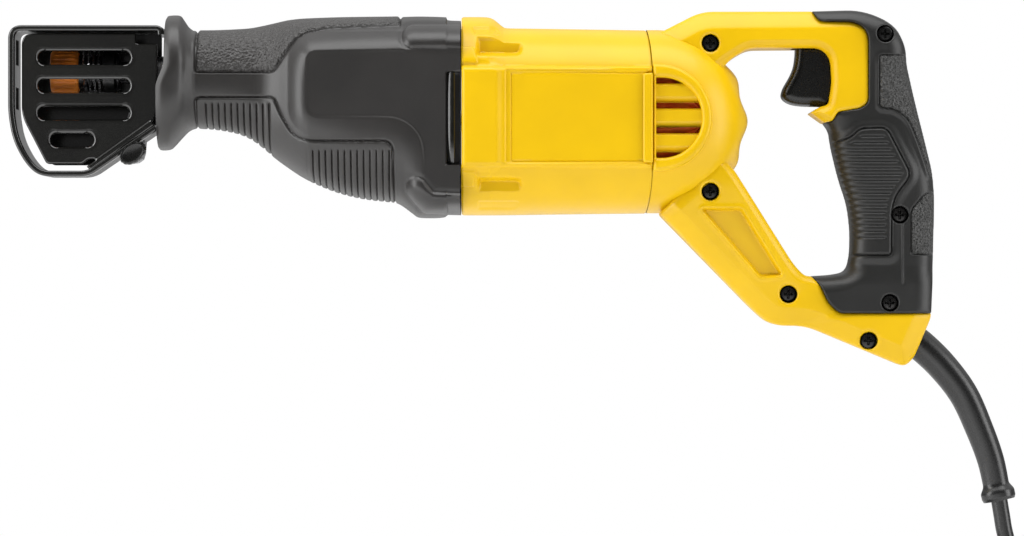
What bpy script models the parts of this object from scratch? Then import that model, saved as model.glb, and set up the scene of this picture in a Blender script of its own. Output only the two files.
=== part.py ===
"""Corded reciprocating saw, modelled upright with its shoe towards -X and its grip towards +X.

The origin is the middle of the rear grip. Sizes in this file are in millimetres and are turned into
metres where a mesh is made. "Left" is the -Y side.
"""

import math

import bmesh
import bpy

MM = 0.001
GAP = 0.3  # the air left between pieces that touch on the real tool

# ---------------------------------------------------------------- driving dimensions
MOTOR_Z = 33.4  # height of the armature axis
PLUNGER_Z = 57.2  # height of the plunger axis
GEAR_MODULE = 0.8
PINION_TEETH = 7
DRIVE_TEETH = 40
GEAR_SHIFT = 0.5  # profile shift of the pinion, taken off the gear
GEAR_BACKLASH = 0.12  # taken off each tooth's thickness
GEAR_CENTRES = GEAR_MODULE * (PINION_TEETH + DRIVE_TEETH) / 2
JACKSHAFT_Z = MOTOR_Z - GEAR_CENTRES
WOBBLE_X = -245.0  # where the wobble ring sits on the jackshaft
WOBBLE_ARM = PLUNGER_Z + 1.2 - JACKSHAFT_Z  # ring centre to ball centre

SHOE_PIVOT = (-365.7, 17.9)
SHOE_HALF = 20.0
STRAP = 2.8
GUARD = 1.8
GUARD_Y = 17.2  # inner face of each guard plate

BOOT_END_X = -206.4
CASE_END_X = -115.2
BELL_END_X = -69.0
BAR_HALF = 17.0  # half the width of the yellow handle bars
GRIP_HALF = 19.0  # half the width of the black grip
BOOT_WALL = 3.0
CASE_WALL = 3.0

CORD_D = 8.0
COIL_MEAN_R = 48.0
COIL_HALF_DEPTH = 15.5
COIL_HALF_WIDTH = 17.0
COIL_CENTRE = (34.5, -239.5)
PLUG_TOP = -302.0  # where the cord enters the plug
PLUG_FACE = PLUG_TOP - 58.0

TURNED_STEPS = 20
OVAL_STEPS = 24


# ---------------------------------------------------------------- materials
def material(name, colour, roughness, metallic=0.0):
    made = bpy.data.materials.new(name)
    made.use_nodes = True
    shader = made.node_tree.nodes["Principled BSDF"]
    shader.inputs["Base Color"].default_value = (*colour, 1.0)
    shader.inputs["Roughness"].default_value = roughness
    shader.inputs["Metallic"].default_value = metallic
    made.diffuse_color = (*colour, 1.0)
    return made


def make_materials():
    return {
        "yellow": material("yellow", (0.86, 0.50, 0.01), 0.42),
        "boot": material("boot", (0.055, 0.05, 0.045), 0.7),
        "grip": material("grip", (0.03, 0.03, 0.028), 0.6),
        "black": material("black", (0.015, 0.015, 0.014), 0.35),
        "gloss": material("gloss", (0.02, 0.02, 0.018), 0.2),
        "orange": material("orange", (0.75, 0.22, 0.03), 0.4),
        "steel": material("steel", (0.55, 0.55, 0.56), 0.3, 1.0),
        "dark_steel": material("dark_steel", (0.12, 0.12, 0.12), 0.4, 1.0),
        "cast": material("cast", (0.6, 0.6, 0.6), 0.5, 1.0),
        "copper": material("copper", (0.6, 0.2, 0.08), 0.35, 1.0),
        "carbon": material("carbon", (0.05, 0.05, 0.05), 0.6),
        "rubber": material("rubber", (0.04, 0.04, 0.04), 0.55),
        "bronze": material("bronze", (0.55, 0.35, 0.15), 0.4, 1.0),
    }


# ---------------------------------------------------------------- mesh helpers
def link(name, mesh, slot):
    mesh.materials.append(slot)
    made = bpy.data.objects.new(name, mesh)
    bpy.context.scene.collection.objects.link(made)
    return made


def skin(name, groups, slot, loop=False):
    """One mesh from groups of rings. A group's rings are joined in turn, and it is closed by end
    caps, or, with loop, by joining its last ring to its first."""
    build = bmesh.new()
    for rings in groups:
        rows = [[build.verts.new([c * MM for c in point]) for point in ring] for ring in rings]
        count = len(rows[0])
        pairs = list(zip(rows, rows[1:]))
        if loop:
            pairs.append((rows[-1], rows[0]))
        else:
            build.faces.new(list(reversed(rows[0])))
            build.faces.new(rows[-1])
        for here, there in pairs:
            for i in range(count):
                j = (i + 1) % count
                build.faces.new((here[i], here[j], there[j], there[i]))
    bmesh.ops.recalc_face_normals(build, faces=build.faces)
    mesh = bpy.data.meshes.new(name)
    build.to_mesh(mesh)
    build.free()
    return link(name, mesh, slot)


def prism_rings(outline, low, high, axis="Y"):
    """The two end rings of an outline pushed along an axis. Outlines along Y hold (x, z) points,
    and those along X hold (y, z) points."""
    if axis == "Y":
        return [[(x, at, z) for x, z in outline] for at in (low, high)]
    return [[(at, y, z) for y, z in outline] for at in (low, high)]


def prism(name, outline, low, high, slot, axis="Y"):
    return skin(name, [prism_rings(outline, low, high, axis)], slot)


def box_outline(low, high):
    return [(low[0], low[1]), (high[0], low[1]), (high[0], high[1]), (low[0], high[1])]


def circle(centre, radius, axis, steps=TURNED_STEPS):
    """A ring of points round a centre, in the plane across an axis."""
    x, y, z = centre
    points = []
    for i in range(steps):
        a = 2 * math.pi * i / steps
        u, v = radius * math.cos(a), radius * math.sin(a)
        points.append({"X": (x, y + u, z + v), "Y": (x + u, y, z + v), "Z": (x + u, y + v, z)}[axis])
    return points


def turned_rings(profile, centre, axis, steps=TURNED_STEPS):
    """Rings for a profile of (place along the axis, radius) pairs."""
    rings = []
    for along, radius in profile:
        place = {
            "X": (along, centre[0], centre[1]),
            "Y": (centre[0], along, centre[1]),
            "Z": (centre[0], centre[1], along),
        }[axis]
        rings.append(circle(place, radius, axis, steps))
    return rings


def turned(name, profile, centre, axis, slot, steps=TURNED_STEPS, bored=False):
    """A turned piece. A bored one is a closed loop of profile points round a hole."""
    return skin(name, [turned_rings(profile, centre, axis, steps)], slot, loop=bored)


def helper(made):
    made.hide_render = True
    made.display_type = "WIRE"
    return made


def combine(target, operation, *tools):
    for tool in tools:
        helper(tool)
        change = target.modifiers.new(operation.lower(), "BOOLEAN")
        change.operation = operation
        change.solver = "EXACT"
        change.object = tool
    return target


def cut(target, *tools):
    return combine(target, "DIFFERENCE", *tools)


def join(target, *tools):
    return combine(target, "UNION", *tools)


def smooth(target, angle=35.0):
    target.data.shade_smooth()
    target.data.set_sharp_from_angle(angle=math.radians(angle))
    return target


def rounded(points, steps=3):
    """An outline whose corners (x, z, radius) are rounded by arcs drawn as quadratic curves."""
    outline = []
    count = len(points)
    for i, (x, z, radius) in enumerate(points):
        if not radius:
            outline.append((x, z))
            continue
        ends = []
        for other in (points[i - 1], points[(i + 1) % count]):
            dx, dz = other[0] - x, other[1] - z
            length = math.hypot(dx, dz)
            reach = min(radius, 0.48 * length)
            ends.append((x + dx / length * reach, z + dz / length * reach))
        arc = steps if radius > 2 else 1
        for k in range(arc + 1):
            t = k / arc
            a, b, c = (1 - t) ** 2, 2 * t * (1 - t), t * t
            outline.append((a * ends[0][0] + b * x + c * ends[1][0],
                            a * ends[0][1] + b * z + c * ends[1][1]))
    return outline


def oval(x, top, bottom, half, lean=0.0, power=2.6, steps=OVAL_STEPS):
    """A rounded-square ring across X, from its top and bottom heights and half its width. lean
    moves its lowest point along X."""
    middle, rise = (top + bottom) / 2, (top - bottom) / 2
    points = []
    for i in range(steps):
        a = 2 * math.pi * (i + 0.5) / steps
        c, s = math.cos(a), math.sin(a)
        y = half * math.copysign(abs(c) ** (2 / power), c)
        z = rise * math.copysign(abs(s) ** (2 / power), s)
        points.append((x + lean * (1 - z / rise) / 2, y, middle + z))
    return points


def shell(name, stations, wall, slot, front_wall=0.0, rear_wall=0.0):
    """An open-ended tube through oval stations (x, top, bottom, half width, lean). A front or rear
    wall is the part of the tube's length that stays outside the inner surface."""
    outer = [oval(x, top, bottom, half, lean) for x, top, bottom, half, lean in stations]
    inner = []
    for i, (x, top, bottom, half, lean) in enumerate(stations):
        at = x
        if i == 0:
            at += front_wall
        if i == len(stations) - 1:
            at -= rear_wall
        inner.append(oval(at, top - wall, bottom + wall, half - wall, lean))
    return skin(name, [outer + inner[::-1]], slot, loop=True)


def through(points, count):
    """Points spaced along a smooth curve through the given ones."""
    ends = [points[0]] + list(points) + [points[-1]]
    spans = len(points) - 1
    curve = []
    for k in range(count):
        at = k * spans / (count - 1)
        i = min(int(at), spans - 1)
        t = at - i
        a, b, c, d = ends[i:i + 4]
        curve.append(tuple(
            0.5 * (2 * q + (r - p) * t + (2 * p - 5 * q + 4 * r - s) * t * t
                   + (3 * q - p - 3 * r + s) * t ** 3)
            for p, q, r, s in zip(a, b, c, d)
        ))
    return curve


def tube(name, points, radius, slot, resolution=2):
    """A round cable or wire along the points, with filled ends."""
    curve = bpy.data.curves.new(name, "CURVE")
    curve.dimensions = "3D"
    spline = curve.splines.new("POLY")
    spline.points.add(len(points) - 1)
    for place, point in zip(spline.points, points):
        place.co = (*[c * MM for c in point], 1.0)
    curve.bevel_depth = radius * MM
    curve.bevel_resolution = resolution
    curve.use_fill_caps = True
    return link(name, curve, slot)


def swept_rings(line, radii, steps):
    """Rings across a line that lies in the plane y = 0."""
    rings = []
    for i, ((x, _, z), radius) in enumerate(zip(line, radii)):
        before = line[max(i - 1, 0)]
        after = line[min(i + 1, len(line) - 1)]
        along = math.hypot(after[0] - before[0], after[2] - before[2])
        dx, dz = (after[0] - before[0]) / along, (after[2] - before[2]) / along
        ring = []
        for k in range(steps):
            a = 2 * math.pi * k / steps
            u, v = radius * math.cos(a), radius * math.sin(a)
            ring.append((x - dz * u, v, z + dx * u))
        rings.append(ring)
    return rings


def helix(start, end, centre, radius, turns, per_turn=9):
    """Points of a coil wound about an X axis line through centre (y, z)."""
    points = []
    total = int(turns * per_turn)
    for i in range(total + 1):
        a = 2 * math.pi * i / per_turn
        x = start + (end - start) * i / total
        points.append((x, centre[0] + radius * math.cos(a), centre[1] + radius * math.sin(a)))
    return points


# ---------------------------------------------------------------- shoe
def shoe_strap(slots):
    centreline = rounded([
        (-352.6, 79.0, 0), (-424.7, 79.0, 5), (-424.7, 26.0, 16), (-407.0, 7.7, 12),
        (-387.5, 7.7, 5), (-354.8, 29.6, 0),
    ], 4)
    half = STRAP / 2
    sides = [[], []]
    for i, (x, z) in enumerate(centreline):
        before = centreline[max(i - 1, 0)]
        after = centreline[min(i + 1, len(centreline) - 1)]
        dx, dz = after[0] - before[0], after[1] - before[1]
        length = math.hypot(dx, dz)
        for side, way in zip(sides, (half, -half)):
            side.append((x - dz / length * way, z + dx / length * way))
    strap = prism("shoe_strap", sides[0] + sides[1][::-1], -SHOE_HALF, SHOE_HALF, slots["black"])
    blade_slot = prism("blade_slot_cutter", box_outline((-430, 30), (-420, 71)), -4.5, 4.5, slots["black"])
    post_window = prism("post_window_cutter", box_outline((-386, 4), (-350, 40)), -11, 11, slots["black"])
    lugs = skin("strap_lug_tool", [
        turned_rings([(y, 5.6), (y + 7.5, 5.6)], SHOE_PIVOT, "Y", 16) for y in (-SHOE_HALF, SHOE_HALF - 7.5)
    ], slots["black"])
    pin_hole = turned("strap_pin_cutter", [(-25, 3.3), (25, 3.3)], SHOE_PIVOT, "Y", slots["black"], 16)
    join(strap, lugs)
    cut(strap, blade_slot, post_window, pin_hole)


def slot_hole(left, right, bottom, top):
    """A flat hole with round ends."""
    radius = (top - bottom) / 2
    middle = (top + bottom) / 2
    outline = []
    for centre, start in ((right - radius, -90), (left + radius, 90)):
        for k in range(5):
            a = math.radians(start + 45 * k)
            outline.append((centre + radius * math.cos(a), middle + radius * math.sin(a)))
    return outline


GUARD_SLOTS = ((-412.4, -366.3, 60.9, 67.5), (-412.4, -366.6, 47.3, 53.9),
               (-412.4, -366.6, 34.1, 40.7), (-406.6, -384.0, 20.9, 27.8))


def shoe_guard(name, side, slots):
    outline = rounded([
        (-419.7, 77.2, 4), (-355.1, 77.2, 4), (-355.1, 36.5, 6), (-358.5, 31.8, 0),
        (-383.6, 13.4, 0), (-386.5, 15.0, 0), (-390.0, 12.9, 3), (-408.1, 12.9, 4), (-419.7, 36.0, 6),
    ])
    low, high = sorted((side * GUARD_Y, side * (GUARD_Y + GUARD)))
    guard = prism(name, outline, low, high, slots["gloss"])
    clearance = turned(name + "_lug_cutter", [(low - 2, 6.0), (high + 2, 6.0)], SHOE_PIVOT, "Y",
                       slots["gloss"], 16)
    cut(guard, clearance)
    if side < 0:  # only the near guard has viewing slots
        cut(guard, skin(name + "_slot_cutter", [
            prism_rings(slot_hole(*slot), low - 2, high + 2) for slot in GUARD_SLOTS
        ], slots["gloss"]))


def shoe_parts(slots):
    shoe_strap(slots)
    shoe_guard("shoe_guard_left", -1, slots)
    shoe_guard("shoe_guard_right", 1, slots)
    smooth(turned("shoe_pivot_pin", [(-19.8, 3.0), (20.3, 3.0), (20.3, 4.6), (22.4, 4.6)], SHOE_PIVOT,
                  "Y", slots["steel"], 16))
    tilt = math.radians(35)
    knob = []
    for i in range(20):
        a = 2 * math.pi * i / 20
        u, v = 6.8 * math.cos(a), 5.0 * math.sin(a)
        knob.append((SHOE_PIVOT[0] + u * math.cos(tilt) - v * math.sin(tilt),
                     SHOE_PIVOT[1] + u * math.sin(tilt) + v * math.cos(tilt)))
    prism("shoe_pivot_knob", knob, -24.5, -20.3, slots["black"])
    leg = rounded([
        (-371.3, 14.0, 4), (-366.0, 12.3, 3), (-360.2, 14.0, 4), (-359.0, 30.0, 0), (-358.6, 36.8, 0),
        (-262.0, 36.8, 1), (-262.0, 40.8, 1), (-366.0, 40.8, 4), (-368.5, 32.0, 0),
    ], 2)
    post = prism("shoe_post", leg, -9.0, 9.0, slots["steel"])
    pin_hole = turned("post_pin_cutter", [(-12, 3.1), (12, 3.1)], SHOE_PIVOT, "Y", slots["steel"], 16)
    cut(post, pin_hole)


# ---------------------------------------------------------------- plunger and blade clamp
def plunger_parts(slots):
    axis = (0.0, PLUNGER_Z)
    plunger = turned("plunger", [(-376.0, 5.0), (-364.0, 5.0), (-364.0, 7.5), (-250.5, 7.5)], axis, "X",
                     slots["steel"])
    fork = prism("fork_tool", box_outline((-11, PLUNGER_Z - 4.5), (11, PLUNGER_Z + 9.5)), -256.0, -233.5,
                 slots["steel"], "X")
    ball_slot = prism("ball_slot_cutter", box_outline((-5.4, PLUNGER_Z - 12), (5.4, PLUNGER_Z + 6.8)),
                      WOBBLE_X - 5.4, WOBBLE_X + 5.4, slots["steel"], "X")
    arm_room = prism("arm_room_cutter", box_outline((-5.4, PLUNGER_Z - 12), (5.4, PLUNGER_Z - 4.4)),
                     -253.5, -230.0, slots["steel"], "X")
    join(plunger, fork)
    cut(plunger, ball_slot, arm_room)
    body = turned("clamp_body", [
        (-405.0, 7.5), (-403.5, 8.3), (-378.0, 8.3), (-378.0, 10.2), (-373.5, 10.2), (-372.0, 9.0),
        (-372.0, 5.4), (-376.6, 5.4), (-376.6, 3.2), (-405.0, 3.2),
    ], axis, "X", slots["dark_steel"], bored=True)
    tang_slot = prism("tang_slot_cutter", box_outline((-1.0, PLUNGER_Z - 6.5), (1.0, PLUNGER_Z + 6.5)),
                      -408.0, -384.0, slots["steel"], "X")
    cut(body, tang_slot)
    collar = turned("clamp_collar", [(-402.0, 9.7), (-401.0, 10.5), (-392.5, 10.5), (-391.5, 9.7),
                                     (-391.5, 8.6), (-402.0, 8.6)], axis, "X", slots["orange"], bored=True)
    tab = prism("collar_tab_tool", box_outline((-14.5, PLUNGER_Z - 2.5), (-9.3, PLUNGER_Z + 2.5)),
                -400.5, -393.0, slots["orange"], "X")
    join(collar, tab)
    tube("clamp_spring", helix(-389.8, -380.4, axis, 9.9, 4), 0.7, slots["steel"], 0)


# ---------------------------------------------------------------- gear case and boot
BOOT_STATIONS = (
    # x, top, bottom, half width, lean of the lowest point
    (-349.9, 82.6, 20.6, 30.0, -3.6),
    (-346.0, 83.8, 19.2, 31.0, -4.0),
    (-342.5, 82.2, 22.4, 28.6, -2.5),
    (-335.7, 77.2, 29.5, 23.4, 0.0),
    (-310.0, 77.4, 27.4, 23.6, 0.0),
    (-296.5, 79.8, 15.5, 27.5, 0.0),
    (-284.8, 82.2, 6.4, 33.5, 0.0),
    (-267.4, 83.1, -1.6, 38.0, 0.0),
    (-238.3, 83.5, -6.3, 40.5, 0.0),
    (-227.0, 83.8, -13.4, 41.5, 0.0),
    (-213.6, 83.6, -13.4, 42.0, 0.0),
    (BOOT_END_X - GAP, 82.0, -11.4, 41.0, 0.0),
)
CASE_SIDE_GAP = BOOT_WALL + GAP


def boot(slots):
    made = shell("boot", BOOT_STATIONS, BOOT_WALL, slots["boot"])
    windows = skin("boot_window_cutter", [
        prism_rings(box_outline((-213.9, 12.9), (-209.0, 56.6)), low, low + 20) for low in (-50, 30)
    ], slots["boot"])
    cut(made, windows)
    smooth(made)


def gear_case(slots):
    stations = []
    for x, top, bottom, half, lean in BOOT_STATIONS[3:]:
        inset = CASE_SIDE_GAP
        stations.append((x, top - inset, bottom + inset, half - inset, lean))
    last = stations[-1]
    stations[-1] = (-216.3, last[1], last[2], last[3], 0.0)
    stations.pop(-2)
    outer = [oval(*station) for station in stations]
    case = skin("gear_case", [outer], slots["cast"])
    hollow = [oval(-262.5, 76.0, 8.0, 28.0), oval(-255.5, 77.5, 1.2, 33.0)]
    hollow += [oval(x, top - 2.4, bottom + 2.4, half - 2.4) for x, top, bottom, half, _ in stations[5:]]
    hollow += [oval(-210.0, last[1] - 2.4, last[2] + 2.4, last[3] - 2.4)]
    room = skin("gear_room_cutter", [hollow], slots["cast"])
    axis = (0.0, PLUNGER_Z)
    bore = turned("plunger_bore_cutter", [(-345, 10.6), (-255, 10.6)], axis, "X", slots["cast"])
    channel = prism("post_channel_cutter", box_outline((-9.6, 36.3), (9.6, 41.3)), -345, -255,
                    slots["cast"], "X")
    fork_room = prism("fork_room_cutter", box_outline((-12.2, PLUNGER_Z - 5.8), (12.2, PLUNGER_Z + 11.0)),
                      -271.8, -254.0, slots["cast"], "X")
    jack_axis = (0.0, JACKSHAFT_Z)
    seat = turned("jack_seat_tool", [(-263.5, 10.6), (-257.6, 10.6)], jack_axis, "X", slots["cast"])
    seat_bore = turned("jack_seat_cutter", [(-262.3, 8.3), (-250, 8.3)], jack_axis, "X", slots["cast"])
    cut(case, room)
    join(case, seat)
    cut(case, bore, channel, seat_bore, fork_room)
    smooth(case)


def gear_case_plate(slots):
    inset = CASE_SIDE_GAP
    rings = []
    for x, station in ((-215.9, BOOT_STATIONS[-2]), (-207.9, BOOT_STATIONS[-1])):
        rings.append(oval(x, station[1] - inset, station[2] + inset, station[3] - inset))
    plate = skin("gear_case_plate", [rings], slots["gloss"])
    jack_axis = (0.0, JACKSHAFT_Z)
    motor_axis = (0.0, MOTOR_Z)
    jack_bore = turned("jack_bore_cutter", [(-218, 8.3), (-210.2, 8.3)], jack_axis, "X", slots["cast"])
    motor_bore = turned("motor_bore_cutter", [(-213.9, 9.8), (-205, 9.8)], motor_axis, "X", slots["cast"])
    shaft_hole = turned("shaft_hole_cutter", [(-218, 5.2), (-205, 5.2)], motor_axis, "X", slots["cast"])
    cut(plate, jack_bore, motor_bore, shaft_hole)
    smooth(plate)


def bush(name, start, end, slots):
    smooth(turned(name, [(start, 10.3), (end, 10.3), (end, 7.6), (start, 7.6)], (0.0, PLUNGER_Z), "X",
                  slots["bronze"], bored=True))


def bearing(name, start, width, outer, bore, height, slots):
    """A sealed ball bearing as one ring, its bore eased at both ends."""
    end = start + width
    profile = [(start, outer), (end, outer), (end, bore + 0.5), (end - 0.5, bore), (start + 0.5, bore),
               (start, bore + 0.5)]
    smooth(turned(name, profile, (0.0, height), "X", slots["steel"], 16, bored=True))


def gear_outline(teeth, shift, tip, root, phase):
    """An involute gear outline in (y, z), about (0, 0). phase turns it, in radians from +Z."""
    pitch = GEAR_MODULE * teeth / 2
    pressure = math.radians(20)
    base = pitch * math.cos(pressure)
    involute = math.tan(pressure) - pressure
    half_tooth = (math.pi / 2 + 2 * shift * math.tan(pressure)) / teeth + involute
    half_tooth -= GEAR_BACKLASH / 2 / pitch
    flank = []
    for radius in (root, (2 * base + tip) / 3, tip):
        if radius > base:
            lean = math.acos(base / radius)
            flank.append((radius, half_tooth - (math.tan(lean) - lean)))
        else:
            flank.append((radius, half_tooth - 0.3 * (base - radius) / pitch))
    points = []
    for tooth in range(teeth):
        middle = phase + 2 * math.pi * tooth / teeth
        sides = [(r, middle - a) for r, a in flank] + [(r, middle + a) for r, a in reversed(flank)]
        points += [(r * math.sin(a), r * math.cos(a)) for r, a in sides]
    return points


def drive_parts(slots):
    jack_axis = (0.0, JACKSHAFT_Z)
    smooth(turned("jackshaft", [
        (-262.0, 3.5), (-256.0, 3.5), (-256.0, 5.0), (-216.0, 5.0), (-216.0, 3.5), (-210.6, 3.5),
    ], jack_axis, "X", slots["steel"], 20))
    pitch = GEAR_MODULE * DRIVE_TEETH / 2
    tip = pitch + GEAR_MODULE * (1 - GEAR_SHIFT)
    root = pitch - GEAR_MODULE * (1.25 + GEAR_SHIFT)
    outline = gear_outline(DRIVE_TEETH, -GEAR_SHIFT, tip, root, math.pi / DRIVE_TEETH)
    raised = [(y, z + JACKSHAFT_Z) for y, z in outline]
    gear = prism("drive_gear", raised, -229.0, -221.0, slots["steel"], "X")
    bore = turned("gear_bore_cutter", [(-235, 5.3), (-215, 5.3)], jack_axis, "X", slots["steel"], 20)
    cut(gear, bore)
    hub = []
    for i in range(7):
        a = math.radians(45 + 15 * i)
        hub.append((WOBBLE_X - 9.0 * math.cos(a), 9.0 * math.sin(a)))
    hub += [(hub[-1][0], 5.3), (hub[0][0], 5.3)]
    smooth(turned("swash_hub", hub, jack_axis, "X", slots["steel"], bored=True))
    bearing("jackshaft_front_bearing", -262.0, 5.0, 8.0, 3.8, JACKSHAFT_Z, slots)
    bearing("jackshaft_rear_bearing", -215.6, 5.0, 8.0, 3.8, JACKSHAFT_Z, slots)


def wobble_arm(slots):
    """A ring with a round inner race on the hub, an arm up from it and a ball in the plunger's fork."""
    race = [(-4.5, 12.3), (4.5, 12.3)]
    for i in range(5):
        a = math.radians(61.4 + 14.3 * i)
        race.append((9.4 * math.cos(a), 9.4 * math.sin(a)))
    ring = turned("wobble_arm", [(WOBBLE_X + x, r) for x, r in race], (0.0, JACKSHAFT_Z), "X",
                  slots["steel"], 24, bored=True)
    ball_z = JACKSHAFT_Z + WOBBLE_ARM
    profile = [(JACKSHAFT_Z + 10.6, 4.2), (JACKSHAFT_Z + 18.0, 4.2), (ball_z - 8.0, 3.0)]
    for i in range(6):
        a = math.radians(37 + 26 * i)
        profile.append((ball_z - 5.0 * math.cos(a), 5.0 * math.sin(a)))
    arm = turned("arm_tool", profile, (WOBBLE_X, 0.0), "Z", slots["steel"], 14)
    join(ring, arm)


# ---------------------------------------------------------------- motor
def armature(slots):
    axis = (0.0, MOTOR_Z)
    shaft = turned("armature_shaft", [
        (-218.0, 3.4), (-207.0, 3.4), (-207.0, 5.0), (-105.0, 5.0), (-105.0, 3.4), (-96.0, 3.4),
    ], axis, "X", slots["steel"])
    pitch = GEAR_MODULE * PINION_TEETH / 2
    tip = pitch + 1.3 * GEAR_MODULE
    root = pitch - GEAR_MODULE * (1.25 - GEAR_SHIFT)
    teeth = gear_outline(PINION_TEETH, GEAR_SHIFT, tip, root, math.pi)
    pinion = prism("pinion_tool", [(y, z + MOTOR_Z) for y, z in teeth], -229.5, -216.5, slots["steel"], "X")
    join(shaft, pinion)

    poles, bottom, opening = 12, 10.5, 1.8
    outline = []
    for i in range(poles):
        middle = 2 * math.pi * i / poles
        for radius, way in ((20.0, -1), (bottom, -1), (bottom, 1), (20.0, 1)):
            side = way * opening
            along = math.sqrt(radius ** 2 - side ** 2)
            outline.append((along * math.cos(middle) - side * math.sin(middle),
                            MOTOR_Z + along * math.sin(middle) + side * math.cos(middle)))
        tooth = middle + math.pi / poles
        outline.append((20.0 * math.cos(tooth), MOTOR_Z + 20.0 * math.sin(tooth)))
    core = prism("armature_core", outline, -180.0, -140.0, slots["steel"], "X")
    cut(core, turned("core_bore_cutter", [(-190, 5.3), (-130, 5.3)], axis, "X", slots["steel"]))

    windings = turned("armature_windings", [
        (-188.0, 12.0), (-186.5, 18.0), (-182.0, 18.8), (-180.3, 18.8), (-180.3, 7.0), (-188.0, 7.0),
    ], axis, "X", slots["copper"], bored=True)
    rear = turned("rear_winding_tool", [
        (-139.7, 18.8), (-138.0, 18.8), (-133.5, 18.0), (-132.0, 12.0), (-132.0, 7.0), (-139.7, 7.0),
    ], axis, "X", slots["copper"], bored=True)
    bars = []
    for i in range(poles):
        middle = 2 * math.pi * i / poles
        corners = ((10.9, -1.4), (18.4, -1.4), (18.4, 1.4), (10.9, 1.4))
        bar = [(r * math.cos(middle) - s * math.sin(middle),
                MOTOR_Z + r * math.sin(middle) + s * math.cos(middle)) for r, s in corners]
        bars.append(prism_rings(bar, -181.0, -139.0, "X"))
    join(windings, rear, skin("slot_bar_tool", bars, slots["copper"]))

    segments = 20
    outline = []
    for i in range(segments):
        for part, radius in ((0.0, 12.2), (0.85, 12.2), (0.92, 11.6)):
            a = 2 * math.pi * (i + part) / segments
            outline.append((radius * math.cos(a), MOTOR_Z + radius * math.sin(a)))
    commutator = prism("commutator", outline, -129.0, -114.0, slots["copper"], "X")
    cut(commutator, turned("commutator_bore_cutter", [(-135, 5.3), (-110, 5.3)], axis, "X", slots["copper"]))

    blades = 11
    outline = []
    for i in range(blades):
        middle = 2 * math.pi * i / blades
        for radius, side in ((10.0, -1.0), (33.0, -0.8), (33.0, 0.8), (10.0, 1.0)):
            outline.append((radius * math.cos(middle) - side * math.sin(middle),
                            MOTOR_Z + radius * math.sin(middle) + side * math.cos(middle)))
    fan = turned("cooling_fan", [(-196.0, 34.0), (-194.0, 34.0), (-194.0, 5.3), (-203.5, 5.3),
                                 (-203.5, 10.5), (-196.0, 11.0)], axis, "X", slots["black"], bored=True)
    join(fan, prism("fan_blade_tool", outline, -203.4, -195.0, slots["black"], "X"))
    cut(fan, turned("fan_bore_cutter", [(-210, 5.3), (-190, 5.3)], axis, "X", slots["black"]))


def sector(inner, outer, start, end, steps):
    """A thick arc in (y, z) about the motor axis, its angles in degrees from +Y."""
    points = []
    for radius, order in ((outer, range(steps + 1)), (inner, range(steps, -1, -1))):
        for k in order:
            a = math.radians(start + (end - start) * k / steps)
            points.append((radius * math.cos(a), MOTOR_Z + radius * math.sin(a)))
    return points


def field_coil(name, turn, slots):
    arch = sector(21.5, 29.0, 8 + turn, 172 + turn, 10)
    coil = prism(name, arch, -188.0, -180.4, slots["copper"], "X")
    sides = [
        prism_rings(sector(22.0, 28.5, start + turn, start + 18 + turn, 2), -181.0, -139.0, "X")
        for start in (9, 153)
    ]
    join(coil, skin(name + "_side_tool", sides, slots["copper"]),
         prism(name + "_rear_tool", arch, -139.6, -132.0, slots["copper"], "X"))


def stator(slots):
    field = rounded([(-35, MOTOR_Z - 37, 26), (35, MOTOR_Z - 37, 26), (35, MOTOR_Z + 37, 26),
                     (-35, MOTOR_Z + 37, 26)], 5)
    stack = prism("field_stack", field, -180.0, -140.0, slots["steel"], "X")
    bore = turned("field_bore_cutter", [(-190, 20.7), (-130, 20.7)], (0.0, MOTOR_Z), "X", slots["steel"], 32)
    coil_slots = prism("coil_slot_cutter", box_outline((-29.6, MOTOR_Z - 14.6), (29.6, MOTOR_Z + 14.6)),
                       -190, -130, slots["steel"], "X")
    cut(stack, bore, coil_slots)
    field_coil("field_coil_upper", 0, slots)
    field_coil("field_coil_lower", 180, slots)
    turned("fan_baffle", [(-192.0, 37.0), (-190.0, 37.0), (-190.0, 24.0), (-192.0, 24.0)],
           (0.0, MOTOR_Z), "X", slots["black"], bored=True)
    for side, word in ((-1, "left"), (1, "right")):
        low, high = sorted((side * 16.0, side * 33.0))
        holder = prism("brush_holder_" + word, box_outline((-126.0, MOTOR_Z - 6), (-116.0, MOTOR_Z + 6)),
                       low, high, slots["bronze"])
        channel = prism("brush_channel_cutter_" + word,
                        box_outline((-124.5, MOTOR_Z - 4.5), (-117.5, MOTOR_Z + 4.5)), low - 5, high + 5,
                        slots["bronze"])
        cut(holder, channel)
        low, high = sorted((side * 12.6, side * 27.0))
        prism("brush_" + word, box_outline((-124.0, MOTOR_Z - 4), (-118.0, MOTOR_Z + 4)), low, high,
              slots["carbon"])


def motor_parts(slots):
    armature(slots)
    stator(slots)
    bearing("motor_front_bearing", -213.5, 6.0, 9.5, 3.7, MOTOR_Z, slots)
    bearing("motor_rear_bearing", -103.0, 6.0, 9.5, 3.7, MOTOR_Z, slots)
    made = shell("field_case", (
        (BOOT_END_X, 83.3, -13.0, 42.0, 0.0),
        (-194.5, 83.3, -13.0, 42.0, 0.0),
        (-186.0, 78.6, -11.8, 40.6, 0.0),
        (CASE_END_X - GAP, 77.2, -11.4, 40.0, 0.0),
    ), CASE_WALL, slots["yellow"])
    smooth(made)


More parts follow.
